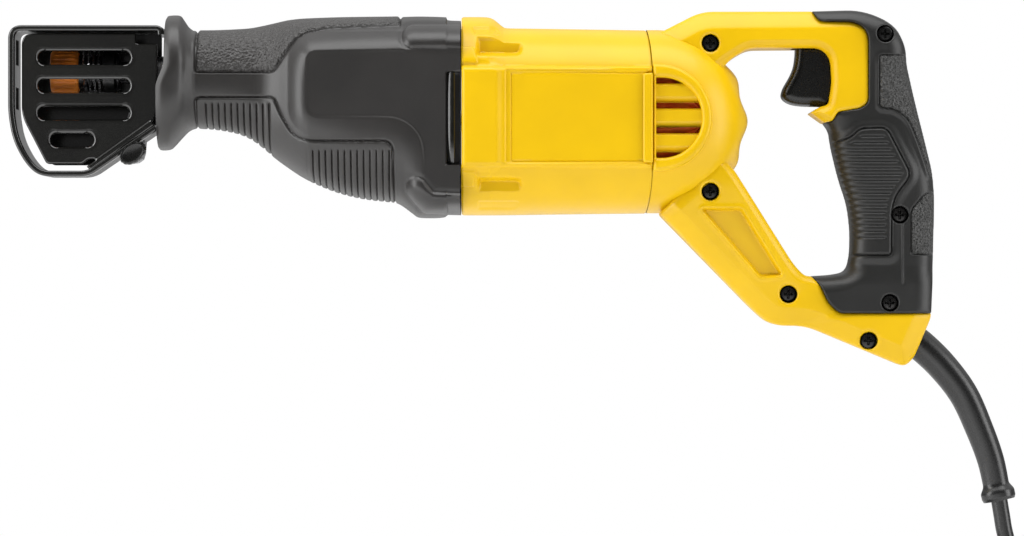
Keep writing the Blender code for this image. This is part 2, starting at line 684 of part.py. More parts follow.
# ---------------------------------------------------------------- handle
YELLOW_OUTLINE = (
    # x, z and corner radius, from the top of the motor end, clockwise
    (-93.0, 79.0, 0), (-90.6, 86.2, 4), (-36.7, 86.8, 0), (-33.1, 81.7, 1), (-15.5, 81.4, 3),
    (-9.8, 77.2, 3), (-9.8, 42.4, 2), (-13.6, 39.6, 2), (-24.4, 38.2, 2), (-27.4, 33.9, 1),
    (-31.2, 33.2, 1), (-37.8, 37.0, 1), (-32.2, 40.6, 1), (-28.2, 40.9, 0), (-28.2, 68.8, 0),
    (-66.8, 68.8, 6), (-77.5, 62.5, 4), (-84.0, 33.4, 0), (-76.0, 10.7, 3), (-44.6, -38.6, 4),
    (-40.4, -41.6, 2), (-36.8, -42.2, 0), (-32.7, -46.9, 2), (-28.9, -55.0, 3), (-23.4, -60.1, 3),
    (20.0, -60.1, 1), (20.3, -62.5, 1), (12.4, -81.4, 3), (7.3, -85.7, 2), (-41.2, -65.8, 5),
    (-52.8, -65.6, 5), (-64.9, -58.6, 5), (-104.0, -18.0, 0), (-104.0, 60.0, 0),
)
GRIP_OUTLINE = (
    (-36.2, 86.9, 0), (-12.5, 87.1, 4), (3.4, 79.2, 6), (8.7, 68.0, 4), (9.2, 60.0, 4), (13.3, 42.6, 6),
    (18.4, 22.8, 6), (21.8, 8.0, 6), (22.8, -10.0, 8), (21.6, -40.0, 6), (21.3, -57.0, 2),
    (19.4, -59.7, 0), (-23.2, -59.7, 2), (-28.5, -54.8, 3), (-32.3, -46.7, 2), (-36.2, -41.7, 0),
    (-24.2, -40.9, 5), (-17.9, -33.5, 5), (-17.4, -23.3, 5), (-19.4, -6.8, 5), (-24.0, 6.0, 5),
    (-27.1, 21.8, 5), (-30.3, 32.8, 1), (-27.0, 33.6, 1), (-24.0, 37.8, 2), (-13.4, 39.2, 2),
    (-9.4, 42.2, 2), (-9.4, 77.4, 3), (-15.3, 81.8, 3), (-32.8, 82.1, 1),
)
BAR_ROOMS = {
    # the hollow of each bar, in (x, z, corner radius)
    "top": ((-108, 62, 0), (-100, 76, 0), (-88.6, 83.2, 3), (-14.0, 84.0, 4), (0.5, 76.4, 4),
            (5.6, 66.5, 3), (6.0, 58.0, 0), (-10, 50, 0), (-24.6, 44.2, 1), (-24.8, 71.9, 1),
            (-68.0, 71.9, 4), (-80.4, 64.2, 3), (-84.0, 50.0, 0)),
    "grip": ((-24.6, 44.4, 0), (-21.0, 30.0, 0), (-16.5, 8.0, 0), (-13.8, -20.0, 0), (-14.2, -42.0, 4),
             (-20.0, -50.0, 0), (-22.0, -64.0, 0), (10.0, -64.0, 0), (17.6, -54.0, 2), (18.6, -10.0, 4),
             (17.0, 12.0, 4), (6.6, 58.2, 0), (-8.0, 60.0, 0)),
    "strut": ((-104, -2, 0), (-86, 14, 0), (-79.2, 12.5, 2), (-47.8, -40.2, 3), (-34.5, -50.5, 0),
              (-30.0, -60.0, 0), (-24.0, -63.4, 2), (16.6, -63.4, 1), (10.2, -78.8, 2), (6.4, -81.8, 1),
              (-41.2, -62.4, 4), (-52.8, -62.2, 4), (-62.6, -56.0, 4), (-101.0, -16.0, 0)),
}
ROOM_HALF = {"top": 13.8, "grip": 14.6, "strut": 13.8}
YELLOW_SCREWS = ((-85.7, 71.4), (-86.2, -0.5), (-48.0, -50.6), (-9.4, -73.0))
GRIP_SCREWS = ((-1.2, 75.9), (1.0, -54.7), (5.7, -12.0))
SLEEVE_PATH = ((6.0, -68.5), (15.7, -75.2), (26.6, -85.7), (36.8, -99.3), (44.4, -116.1), (49.7, -130.7),
               (52.6, -143.9), (53.9, -150.2))


def half_prism(name, outline, side, half, slot, chamfer=4.0):
    """Half a handle bar: the outline pushed from the split line out to its side, and chamfered."""
    inner, outer = side * GAP / 2, side * half
    build = bmesh.new()
    rows = [[build.verts.new((x * MM, y * MM, z * MM)) for x, z in outline] for y in (inner, outer)]
    count = len(outline)
    build.faces.new(rows[0])
    build.faces.new(rows[1])
    for i in range(count):
        j = (i + 1) % count
        build.faces.new((rows[0][i], rows[0][j], rows[1][j], rows[1][i]))
    bmesh.ops.recalc_face_normals(build, faces=build.faces)
    rim = [e for e in build.edges if all(abs(v.co.y - outer * MM) < 1e-6 for v in e.verts)]
    bmesh.ops.bevel(build, geom=rim, offset=chamfer * MM, segments=2, profile=0.6, affect="EDGES",
                    clamp_overlap=True)
    mesh = bpy.data.meshes.new(name)
    build.to_mesh(mesh)
    build.free()
    return link(name, mesh, slot)


def bell_rings(wall):
    """The dome over the back of the motor, and a wall's thickness inside it."""
    length = BELL_END_X - CASE_END_X - wall
    rings = [oval(CASE_END_X - (1.0 if wall else 0.0), 77.2 - wall, -11.4 + wall, 40.0 - wall)]
    for i in range(1, 7):
        t = (i / 6) ** 0.8 * 0.985
        shrink = (1 - t ** 2.6) ** (1 / 2.2)
        high, wide = (44.3 - wall) * shrink, (40.0 - wall) * shrink
        rings.append(oval(CASE_END_X + t * length, 32.9 + high, 32.9 - high, wide))
    return rings


def side_box(name, side, slot):
    """Everything on one side of the split plane, less half the gap."""
    low, high = sorted((side * GAP / 2, side * 60.0))
    return prism(name, box_outline((-140, -120), (60, 120)), low, high, slot)


def screw_tools(name, spots, side, slot):
    """The bosses round the screws of one half, and the holes through them."""
    face = side * BAR_HALF
    bosses, holes = [], []
    for spot in spots:
        low, high = sorted((side * GAP / 2, face * 0.9))
        bosses.append(turned_rings([(low, 5.2), (high, 5.2)], spot, "Y", 10))
        if side < 0:
            holes.append(turned_rings([(-30.0, 4.1), (-8.0, 4.1), (-8.0, 2.0), (1.0, 2.0)], spot, "Y", 12))
        else:
            holes.append(turned_rings([(-1.0, 2.0), (11.3, 2.0)], spot, "Y", 10))
    return skin(name + "_boss_tool", bosses, slot), skin(name + "_hole_cutter", holes, slot)


def room(name, key, side, slot):
    low, high = sorted((-side * 2.0, side * ROOM_HALF[key]))
    return prism(name, rounded(BAR_ROOMS[key], 1), low, high, slot)


def vent_rings(side):
    """Four horizontal air slots in the side of the bell."""
    low, high = sorted((side * 20, side * 60))
    slots = []
    for bottom in (51.7, 39.6, 27.3, 15.6):
        reach = -90.6 - 0.011 * (bottom + 1.4 - MOTOR_Z) ** 2
        slots.append(prism_rings(box_outline((-111.0, bottom), (reach, bottom + 2.8)), low, high))
    return slots


def handle_half(word, side, slots):
    slot = slots["yellow"]
    name = "handle_" + word
    half = half_prism(name, rounded(YELLOW_OUTLINE, 2), side, BAR_HALF, slot)
    bell = skin(name + "_bell_tool", [bell_rings(0.0)], slot)
    combine(bell, "INTERSECT", side_box(name + "_side_tool", side, slot))
    bell_room = skin(name + "_bell_cutter", [bell_rings(3.0)], slot)
    seat = turned(name + "_seat_tool", [
        (-105.0, 12.6), (-73.0, 12.6), (-73.0, 6.5), (-96.6, 6.5), (-96.6, 9.8), (-105.0, 9.8),
    ], (0.0, MOTOR_Z), "X", slot, 16, bored=True)
    combine(seat, "INTERSECT", side_box(name + "_seat_side_tool", side, slot))
    bosses, holes = screw_tools(name, YELLOW_SCREWS, side, slot)
    window = prism(name + "_trigger_cutter", box_outline((-32.0, 40.9), (-20.0, 68.6)),
                   -10.5, 10.5, slot)
    exit_line = through([(x, 0.0, z) for x, z in SLEEVE_PATH[:4]], 8)
    exit_hole = skin(name + "_exit_cutter", [swept_rings(exit_line, [8.2] * 8, 16)], slot)
    join(half, bell)
    cut(half, bell_room, room(name + "_top_cutter", "top", side, slot),
        room(name + "_grip_cutter", "grip", side, slot), room(name + "_strut_cutter", "strut", side, slot))
    join(half, seat, bosses)
    cut(half, holes, window, exit_hole, skin(name + "_vent_cutter", vent_rings(side), slot))


def grip_half(word, side, slots):
    slot = slots["grip"]
    name = "grip_" + word
    half = half_prism(name, rounded(GRIP_OUTLINE, 2), side, GRIP_HALF, slot, 5.0)
    bosses, holes = screw_tools(name, GRIP_SCREWS, side, slot)
    cut(half, room(name + "_top_cutter", "top", side, slot), room(name + "_grip_cutter", "grip", side, slot))
    join(half, bosses)
    cut(half, holes)


def handle_parts(slots):
    for word, side in (("left", -1), ("right", 1)):
        handle_half(word, side, slots)
        grip_half(word, side, slots)
    for number, spot in enumerate(YELLOW_SCREWS + GRIP_SCREWS, 1):
        screw = turned(f"handle_screw_{number}", [(-10.6, 3.6), (-8.3, 3.6), (-8.3, 1.7), (10.6, 1.7)], spot,
                       "Y", slots["dark_steel"], 10)
        for word, u, v in (("wide", 2.0, 0.4), ("tall", 0.4, 2.0)):
            recess = box_outline((spot[0] - u, spot[1] - v), (spot[0] + u, spot[1] + v))
            cut(screw, prism(f"screw_{word}_cutter_{number}", recess, -12.0, -9.4, slots["dark_steel"]))


# ---------------------------------------------------------------- trigger and wiring
def trigger_parts(slots):
    outline = rounded([
        (-45.0, 68.4, 1), (-44.4, 62.5, 4), (-47.5, 52.3, 8), (-51.8, 45.5, 2), (-47.0, 41.2, 2),
        (-28.6, 41.2, 0), (-28.6, 68.4, 0),
    ])
    trigger = prism("trigger", outline, -9.8, 9.8, slots["black"])
    stem = turned("trigger_stem_tool", [(-30.0, 3.0), (-24.0, 3.0)], (0.0, 56.0), "X", slots["black"], 12)
    join(trigger, stem)
    tube("trigger_spring", helix(-28.0, -14.8, (0.0, 56.0), 4.4, 5), 0.5, slots["steel"], 0)
    switch = prism("switch_body", box_outline((-14.0, 46.0), (3.0, 66.0)), -11.0, 11.0, slots["black"])
    terminal = prism("switch_terminal_tool", box_outline((-6.0, 41.0), (0.0, 46.5)), -6.0, 6.0,
                     slots["black"])
    join(switch, terminal)


def cord_parts(slots):
    sleeve_line = through([(x, 0.0, z) for x, z in SLEEVE_PATH], 15)
    radii = []
    for i in range(len(sleeve_line)):
        t = i / (len(sleeve_line) - 1)
        radii.append(7.8 - 1.8 * t + 2.2 * max(0.0, (t - 0.9) / 0.1) ** 2)
    rings = swept_rings(sleeve_line, radii, 12)
    smooth(skin("cord_sleeve", [rings], slots["rubber"]))
    clamp = prism("cord_clamp", box_outline((-15.0, -67.3), (-4.0, -64.6)), -11.5, 11.5, slots["black"])
    saddle = turned("clamp_saddle_cutter", [(-20, 4.2), (0, 4.2)], (0.0, -62.2), "X", slots["black"], 16)
    cut(clamp, saddle)
    lead = [
        (4.6, 0.0, -66.8), (-2.0, 0.0, -63.2), (-9.0, 0.0, -61.8), (-14.6, 0.0, -55.5),
        (-12.5, 0.0, -45.0), (-8.0, 0.0, -30.0), (-6.5, 0.0, -12.0), (-6.0, 0.0, 5.0),
        (-3.0, 0.0, 22.0), (-3.0, 0.0, 40.4),
    ]
    tube("supply_lead", through(lead, 30), 3.5, slots["rubber"], 1)
    drop = [(54.0, 0.0, -150.9), (55.2, 0.0, -158.0), (56.6, 0.0, -166.0), (59.8, 0.0, -176.8)]
    tube("cord", through(drop, 10), CORD_D / 2, slots["rubber"], 2)
    inner, outer = COIL_MEAN_R - COIL_HALF_DEPTH, COIL_MEAN_R + COIL_HALF_DEPTH
    width = COIL_HALF_WIDTH
    smooth(turned("cord_coil", [
        (-width, inner + 5), (-width, outer - 5), (-width + 5, outer), (width - 5, outer),
        (width, outer - 5), (width, inner + 5), (width - 5, inner), (-width + 5, inner),
    ], COIL_CENTRE, "Y", slots["rubber"], 28, bored=True))
    tie_angle = math.radians(100)
    radial = (math.cos(tie_angle), math.sin(tie_angle))
    around = (-radial[1], radial[0])
    loop = []
    for depth, half_width in ((COIL_HALF_DEPTH + 1.6, width + 1.6), (COIL_HALF_DEPTH + 0.4, width + 0.4)):
        for along in (-3.5, 3.5):
            ring = []
            for side, deep in ((-1, -1), (-1, 1), (1, 1), (1, -1)):
                r = COIL_MEAN_R + deep * depth
                ring.append((COIL_CENTRE[0] + radial[0] * r + around[0] * along, side * half_width,
                             COIL_CENTRE[1] + radial[1] * r + around[1] * along))
            loop.append(ring)
    skin("cord_tie", [[loop[0], loop[1], loop[3], loop[2]]], slots["black"], loop=True)
    far_x, far_y = COIL_CENTRE[0] + 46.0, -width - CORD_D / 2 - 1.0
    tail = [(far_x + 2, far_y, -239.0), (far_x + 2, far_y, -255.0), (far_x + 1, far_y, -275.0),
            (far_x, far_y, PLUG_TOP + GAP)]
    tube("cord_tail", through(tail, 10), CORD_D / 2, slots["rubber"], 2)
    body = turned("plug_body", [
        (PLUG_TOP, 6.0), (PLUG_TOP - 14.0, 7.5), (PLUG_TOP - 28.0, 9.0), (PLUG_TOP - 30.0, 14.0),
        (PLUG_TOP - 42.0, 18.0), (PLUG_FACE, 18.8),
    ], (far_x, far_y), "Z", slots["rubber"])
    pins = skin("plug_pin_tool", [
        turned_rings([(PLUG_FACE + 1.0, 2.4), (PLUG_FACE - 18.0, 2.4), (PLUG_FACE - 19.0, 1.4)],
                     (far_x + dx, far_y), "Z", 10)
        for dx in (-9.5, 9.5)
    ], slots["steel"])
    join(body, pins)


def main():
    for existing in list(bpy.data.objects):
        bpy.data.objects.remove(existing)
    slots = make_materials()
    shoe_parts(slots)
    plunger_parts(slots)
    boot(slots)
    gear_case(slots)
    gear_case_plate(slots)
    bush("plunger_front_bush", -334.0, -318.0, slots)
    bush("plunger_rear_bush", -288.0, -272.5, slots)
    drive_parts(slots)
    wobble_arm(slots)
    motor_parts(slots)
    handle_parts(slots)
    trigger_parts(slots)
    cord_parts(slots)


main()
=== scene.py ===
"""Looks of a corded reciprocating saw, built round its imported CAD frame.

Lengths are in millimetres until a mesh is made. X runs from the shoe (-) to the grip (+), Y is
depth with the near side at -Y, and Z is up.
"""

import math
from functools import partial

import bpy
import numpy as np
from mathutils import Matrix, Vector


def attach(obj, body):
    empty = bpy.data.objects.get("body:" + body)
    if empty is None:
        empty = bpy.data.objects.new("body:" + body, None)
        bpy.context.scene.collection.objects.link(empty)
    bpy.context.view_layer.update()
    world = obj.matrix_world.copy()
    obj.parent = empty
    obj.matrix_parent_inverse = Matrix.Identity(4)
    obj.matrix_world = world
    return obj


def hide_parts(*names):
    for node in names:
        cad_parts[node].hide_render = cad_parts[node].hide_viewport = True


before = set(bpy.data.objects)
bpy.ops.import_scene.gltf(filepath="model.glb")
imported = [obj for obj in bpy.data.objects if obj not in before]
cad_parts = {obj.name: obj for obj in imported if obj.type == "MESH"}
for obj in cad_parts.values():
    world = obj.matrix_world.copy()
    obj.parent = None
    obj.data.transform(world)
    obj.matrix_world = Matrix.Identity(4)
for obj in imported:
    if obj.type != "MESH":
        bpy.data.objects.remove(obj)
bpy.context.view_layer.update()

MM = 0.001

FLOOR_Z = -385
PLUNGER_Z = 57.2
SHOE_PIVOT = (-365.7, 17.9)
NEAR, FAR = -1, 1  # the two sides of the saw
FLANK = 12  # the shells' tops and undersides, nearer the middle plane than this, keep their section


# ---- numbers
def step(value, low, high):
    """0 at low, 1 at high and smooth between. low may be above high."""
    t = np.clip((value - low) / (high - low), 0, 1)
    return t * t * (3 - 2 * t)


def ridge(gap, width):
    """1 on a line and 0 a little more than width away from it."""
    return np.exp(-(gap / width) ** 2)


def fade(value, reach, power=1):
    """1 at zero, falling to 0 at reach and beyond."""
    return np.clip(1 - value / reach, 0, 1) ** power


def full_turn(count):
    """Evenly spaced angles all the way round."""
    return np.linspace(0, 2 * np.pi, count, endpoint=False)


def squarish(value, power):
    """A sine or cosine bent so that it draws a circle with its corners pushed out."""
    return np.sign(value) * abs(value) ** power


def through(points, count):
    """Points spaced along a smooth curve through the given ones."""
    points = np.array(points, float)
    ends = np.vstack([points[:1], points, points[-1:]])
    at = np.linspace(0, len(points) - 1, count)
    i = np.minimum(at.astype(int), len(points) - 2)
    t = (at - i)[:, None]
    a, b, c, d = ends[i], ends[i + 1], ends[i + 2], ends[i + 3]
    return 0.5 * (2 * b + (c - a) * t + (2 * a - 5 * b + 4 * c - d) * t * t
                  + (3 * b - a - 3 * c + d) * t ** 3)


def profile(knots):
    """A function through (place, value) knots, smooth along its length."""
    curve = through(knots, 30 * len(knots))
    order = np.argsort(curve[:, 0])
    return lambda at: np.interp(at, curve[order, 0], curve[order, 1])


def rounded(corners, steps=6):
    """A closed outline from (x, z, reach) corners. reach is how far from the corner its rounding
    starts."""
    line = []
    for i, (x, z, reach) in enumerate(corners):
        corner = np.array((x, z), float)
        if not reach:
            line.append(corner)
            continue
        ends = []
        for other in (corners[i - 1], corners[(i + 1) % len(corners)]):
            way = np.array(other[:2], float) - corner
            length = np.hypot(*way)
            ends.append(corner + way / length * min(reach, 0.48 * length))
        for t in np.linspace(0, 1, steps + 1):
            line.append((1 - t) ** 2 * ends[0] + 2 * t * (1 - t) * corner + t * t * ends[1])
    return np.array(line)


def block(left, right, top, bottom, left_reach=0, right_reach=0):
    """A rectangle's outline, with one rounding for its left corners and one for its right ones."""
    return rounded(((left, top, left_reach), (right, top, right_reach),
                    (right, bottom, right_reach), (left, bottom, left_reach)))


def directions(line):
    """Unit steps along a line of points."""
    ahead = np.gradient(line, axis=0)
    return ahead / np.linalg.norm(ahead, axis=1)[:, None]


def away(line, x, z, closed=True):
    """How far points are from a line of points. Inside a closed one it is negative."""
    nearest = np.full(np.shape(x), 1e9)
    inside = np.zeros(np.shape(x), bool)
    ends = np.roll(line, -1, 0) if closed else line[1:]
    for (ax, az), (bx, bz) in zip(line, ends):
        dx, dz = bx - ax, bz - az
        square = dx * dx + dz * dz
        if square < 1e-12:
            continue
        t = np.clip(((x - ax) * dx + (z - az) * dz) / square, 0, 1)
        nearest = np.minimum(nearest, (x - ax - t * dx) ** 2 + (z - az - t * dz) ** 2)
        if closed and dz:
            inside ^= ((az > z) != (bz > z)) & (x < ax + (z - az) * dx / dz)
    return np.where(inside, -1, 1) * np.sqrt(nearest)


def crown(depth, reach, power):
    """How far a rounded edge has fallen where the surface is depth inside its outline, as a share:
    1 at the outline and 0 from reach inwards."""
    return 1 - (1 - fade(depth, reach) ** power) ** (1 / power)


def edged(flat, fall, reach, power):
    """The height of a flat face that falls away at its edge."""
    return lambda x, z, depth: flat - fall * crown(depth, reach, power)


# ---- materials
def feed(tree, made, inputs):
    """Sets a node's inputs, each to a value or to the output of another node."""
    for key, value in inputs.items():
        if isinstance(value, bpy.types.NodeSocket):
            tree.links.new(value, made.inputs[key])
        else:
            made.inputs[key].default_value = value


def node(tree, kind, inputs=(), **settings):
    made = tree.nodes.new(kind)
    for key, value in settings.items():
        setattr(made, key, value)
    feed(tree, made, dict(inputs))
    return made


def maths(tree, operation, one, other):
    return node(tree, "ShaderNodeMath", {0: one, 1: other}, operation=operation).outputs["Value"]


def remap(tree, value, low, high, start, end, **settings):
    limits = {"Value": value, "From Min": low, "From Max": high, "To Min": start, "To Max": end}
    return node(tree, "ShaderNodeMapRange", limits, **settings).outputs["Result"]


def finish_material(name, dark, light, roughness, metallic=0, grain=900, grain_depth=0.02,
                    mottle=35, coat=0, cells=False, specular=0.5, lines=0):
    """A moulded, cast or machined finish between two linear shades and two limits of roughness. grain
    is the scale of its fine bump, which cells turn to pebbles and lines to turning marks."""
    made = bpy.data.materials.new(name)
    made.use_nodes = True
    tree = made.node_tree
    shader = tree.nodes["Principled BSDF"]
    place = node(tree, "ShaderNodeTexCoord").outputs["Object"]

    def noise(scale, detail):
        settings = {"Vector": place, "Scale": scale, "Detail": detail}
        return node(tree, "ShaderNodeTexNoise", settings).outputs["Fac"]

    tone = node(tree, "ShaderNodeValToRGB", {"Fac": noise(mottle, 4)})
    for element, position, shade in zip(tone.color_ramp.elements, (0.35, 0.65), (dark, light)):
        element.position = position
        element.color = (*shade, 1)
    fine = noise(grain, 3)
    height = fine
    if cells:
        pebbles = node(tree, "ShaderNodeTexVoronoi", {"Vector": place, "Scale": grain})
        height = maths(tree, "ADD", pebbles.outputs["Distance"], fine)
    if lines:
        turning = node(tree, "ShaderNodeTexWave", {"Vector": place, "Scale": lines, "Distortion": 0.6,
                                                   "Detail": 2}, bands_direction="X")
        height = maths(tree, "ADD", turning.outputs["Fac"], fine)
    bump = node(tree, "ShaderNodeBump", {"Height": height, "Distance": grain_depth * MM, "Strength": 1})
    feed(tree, shader, {
        "Base Color": tone.outputs["Color"], "Roughness": remap(tree, fine, 0.3, 0.7, *roughness),
        "Normal": bump.outputs["Normal"], "Metallic": metallic, "Coat Weight": coat,
        "Coat Roughness": 0.12, "Specular IOR Level": specular,
    })
    return made


FINISHES = {  # the darker and the lighter shade, the limits of roughness, and what else differs
    "yellow_plastic": ((0.64, 0.392, 0), (0.68, 0.420, 0), (0.30, 0.38),
        dict(grain=1500, grain_depth=0.012, specular=0.3)),
    "boot_rubber": ((0.0155, 0.0145, 0.0138), (0.021, 0.0195, 0.0185), (0.32, 0.42),
        dict(grain=2200, grain_depth=0.03)),
    "boot_pad": ((0.016, 0.015, 0.014), (0.026, 0.024, 0.023), (0.32, 0.50),
        dict(grain=800, grain_depth=0.5, cells=True)),
    "grip_rubber": ((0.013, 0.013, 0.0125), (0.017, 0.017, 0.0165), (0.32, 0.42),
        dict(specular=0.32, grain=2200)),
    "grip_pad": ((0.012, 0.012, 0.011), (0.020, 0.020, 0.019), (0.28, 0.46),
        dict(grain=760, grain_depth=0.6, cells=True)),
    "black_plastic": ((0.003, 0.003, 0.0028), (0.005, 0.005, 0.0045), (0.24, 0.32),
        dict(specular=0.4, grain=1800, grain_depth=0.01)),
    "black_gloss": ((0.004, 0.004, 0.0036), (0.006, 0.006, 0.005), (0.16, 0.24),
        dict(grain=700, grain_depth=0.006, coat=0.4)),
    "black_steel": ((0.004, 0.004, 0.0036), (0.006, 0.006, 0.005), (0.14, 0.22),
        dict(grain=600, grain_depth=0.012, coat=0.6)),
    "orange_clamp": ((0.72, 0.19, 0.02), (0.78, 0.24, 0.03), (0.28, 0.4), dict(grain=1500)),
    "steel": ((0.42, 0.42, 0.43), (0.52, 0.52, 0.53), (0.22, 0.36),
        dict(metallic=1, grain_depth=0.008, lines=400)),
    "dark_steel": ((0.10, 0.10, 0.10), (0.16, 0.16, 0.16), (0.28, 0.42),
        dict(metallic=1, grain_depth=0.01)),
    "cast_alloy": ((0.40, 0.40, 0.41), (0.50, 0.50, 0.51), (0.45, 0.62),
        dict(metallic=1, grain=700, grain_depth=0.06)),
    "copper": ((0.50, 0.17, 0.07), (0.62, 0.25, 0.10), (0.28, 0.42),
        dict(metallic=1, grain=1200, lines=900)),
    "carbon": ((0.020, 0.020, 0.020), (0.040, 0.040, 0.040), (0.5, 0.66), {}),
    "cord_rubber": ((0.006, 0.006, 0.006), (0.009, 0.009, 0.009), (0.26, 0.34), dict(grain=1400)),
    "bronze": ((0.45, 0.27, 0.10), (0.55, 0.35, 0.14), (0.3, 0.44), dict(metallic=1)),
    "screw_black": ((0.020, 0.020, 0.020), (0.035, 0.033, 0.032), (0.22, 0.34),
        dict(metallic=0.6, grain_depth=0.01)),
    # a reddish sheet behind the vent slats: painted glow of light seen through the yellow plastic inside
    "vent_painted_glow": ((0.75, 0.090, 0.015), (0.90, 0.180, 0.030), (0.5, 0.6), dict(mottle=160)),
}
FINISHES = {name: finish_material(name, *look, **rest) for name, (*look, rest) in FINISHES.items()}


# ---- meshes
def placed(name, data):
    """A new object of the scene."""
    made = bpy.data.objects.new(name, data)
    bpy.context.scene.collection.objects.link(made)
    return made


class Build:
    """Points and faces gathered from several surfaces into one mesh."""

    def __init__(self):
        self.points, self.faces, self.paints, self.count = [], [], [], 0

    def add(self, points, faces, paint=0):
        points = np.asarray(points, float).reshape(-1, 3)
        self.points.append(points)
        self.faces += [tuple(i + self.count for i in face) for face in faces]
        self.paints += [paint] * len(faces)
        self.count += len(points)

    def sheet(self, rows, closed=False, flip=False, paint=0):
        """A surface through rows of points. closed joins each row's last point to its first."""
        rows = np.asarray(rows, float)
        count, wide = rows.shape[:2]
        index = np.arange(count * wide).reshape(count, wide)
        if closed:
            index = np.hstack([index, index[:, :1]])
        corners = [index[:-1, :-1], index[:-1, 1:], index[1:, 1:], index[1:, :-1]]
        if flip:
            corners.reverse()
        faces = np.stack(corners, -1).reshape(-1, 4).tolist()
        self.add(rows, faces, paint)

    def turned(self, axis_points, radii, steps=32, caps=True, paint=0):
        """A round surface whose rings stand across one straight axis."""
        line = np.asarray(axis_points, float)
        way = (line[-1] - line[0]) / np.linalg.norm(line[-1] - line[0])
        radii = np.broadcast_to(radii, len(line))
        self.sheet(line[:, None] + radii[:, None, None] * circle(way, steps), closed=True, paint=paint)
        if caps:
            base = self.count - len(line) * steps
            self.faces.append(tuple(base + i for i in reversed(range(steps))))
            self.faces.append(tuple(base + (len(line) - 1) * steps + i for i in range(steps)))
            self.paints += [paint, paint]

    def mesh(self, name, materials):
        mesh = bpy.data.meshes.new(name)
        mesh.from_pydata((np.vstack(self.points) * MM).tolist(), [], self.faces)
        for material in materials:
            mesh.materials.append(material)
        return mesh

    def piece(self, name, body, slot, replaces=(), finishes=(), angle=38):
        mesh = self.mesh(name, [FINISHES[finish] for finish in finishes or (slot,)])
        mesh.polygons.foreach_set("material_index", np.array(self.paints, np.int32))
        mesh.shade_smooth()
        mesh.set_sharp_from_angle(angle=math.radians(angle))
        made = placed(name, mesh)
        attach(made, body)
        if replaces:
            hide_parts(*replaces)
        return made


def circle(way, steps):
    """Points of a unit circle that stands across a direction."""
    across = np.cross(way, (0, 1, 0) if abs(way[1]) < 0.8 else (0, 0, 1))
    across /= np.linalg.norm(across)
    turn = full_turn(steps)
    return np.outer(np.cos(turn), across) + np.outer(np.sin(turn), np.cross(way, across))


WALL_ROWS = 4  # rows of faces in the wall that stands behind a moulded side's edge


def relief(build, region, box, height, cell, side, back=0, paint=None, sheet=False):
    """Adds one moulded side: a fine grid over the part of the box (x, x, z, z) where region(x, z) is
    negative, trimmed exactly at its edge. height(x, z, depth) is how far the surface stands from the
    middle plane, and a wall runs back from its edge to the back distance, or to a second sheet."""
    xs = np.arange(box[0] - cell[0], box[1] + 2 * cell[0], cell[0])
    zs = np.arange(box[2] - cell[1], box[3] + 2 * cell[1], cell[1])
    x, z = np.meshgrid(xs, zs, indexing="ij")
    gap = region(x, z)
    inside = gap < 0
    whole = int(inside.sum())
    number = np.full(gap.shape, -1)
    number[inside] = np.arange(whole)
    corners = np.stack([number[:-1, :-1], number[1:, :-1], number[1:, 1:], number[:-1, 1:]], -1)
    held = (corners >= 0).sum(-1)
    faces = corners[held == 4].tolist()
    cell_x, cell_z = (x[:-1, :-1] + x[1:, 1:]) / 2, (z[:-1, :-1] + z[1:, 1:]) / 2
    middles = list(zip(cell_x[held == 4], cell_z[held == 4]))
    cuts, cut_points, rim = {}, [], []
    for i, j in np.argwhere((held > 0) & (held < 4)):
        loop = [(i, j), (i + 1, j), (i + 1, j + 1), (i, j + 1)]
        polygon, crossings = [], []
        for a, b in zip(loop, loop[1:] + loop[:1]):
            if inside[a]:
                polygon.append(int(number[a]))
            if inside[a] != inside[b]:
                key = (min(a, b), max(a, b))
                if key not in cuts:
                    t = gap[a] / (gap[a] - gap[b])
                    cuts[key] = whole + len(cut_points)
                    cut_points.append((x[a] + t * (x[b] - x[a]), z[a] + t * (z[b] - z[a])))
                polygon.append(cuts[key])
                crossings.append((cuts[key], inside[a]))
        faces.append(polygon)
        middles.append((cell_x[i, j], cell_z[i, j]))
        for k, (cut, leaving) in enumerate(crossings):
            if leaving:
                rim.append((cut, crossings[(k + 1) % len(crossings)][0]))
    cut_points = np.array(cut_points)
    px, pz = np.vstack([np.stack([x[inside], z[inside]], -1), cut_points]).T
    depth = np.concatenate([-gap[inside], np.zeros(len(cut_points))])
    high = height(px, pz, depth)
    points = np.stack([px, side * high, pz], -1)
    middles = np.array(middles)
    paints = [0] * len(faces)
    if paint:
        paints = paint(middles[:, 0], middles[:, 1]).astype(int).tolist()
    if side == FAR:
        faces = [face[::-1] for face in faces]
        rim = [(b, a) for a, b in rim]
    start = build.count
    build.add(points, faces)
    build.paints[-len(faces):] = paints
    edge = sorted({i for pair in rim for i in pair})
    place = {vertex: k for k, vertex in enumerate(edge)}
    behind = back(px[edge], pz[edge]) if callable(back) else back
    upper = start + np.array(edge)
    for k in range(1, WALL_ROWS + 1):
        row = points[edge]
        row[:, 1] = side * (high[edge] + (behind - high[edge]) * k / WALL_ROWS)
        lower = build.count + np.arange(len(edge))
        build.add(row, [])
        for a, b in ((place[a], place[b]) for a, b in rim):
            build.faces.append((int(upper[b]), int(upper[a]), int(lower[a]), int(lower[b])))
            build.paints.append(0)
        upper = lower
    if sheet:
        flat = points.copy()
        flat[:, 1] = side * back
        build.add(flat, [face[::-1] for face in faces])


# ---- camera, lights and floor
def make_camera():
    """A long lens square on to the near side."""
    distance, seen_width = 2.75, 0.496
    data = bpy.data.cameras.new("camera")
    data.sensor_width = 36
    data.lens = data.sensor_width * distance / seen_width
    data.clip_start = 0.1
    data.clip_end = 100
    camera = placed("camera", data)
    camera.location = (-0.1821, -distance, -0.0378)
    camera.rotation_euler = (math.radians(90), 0, 0)
    bpy.context.scene.camera = camera


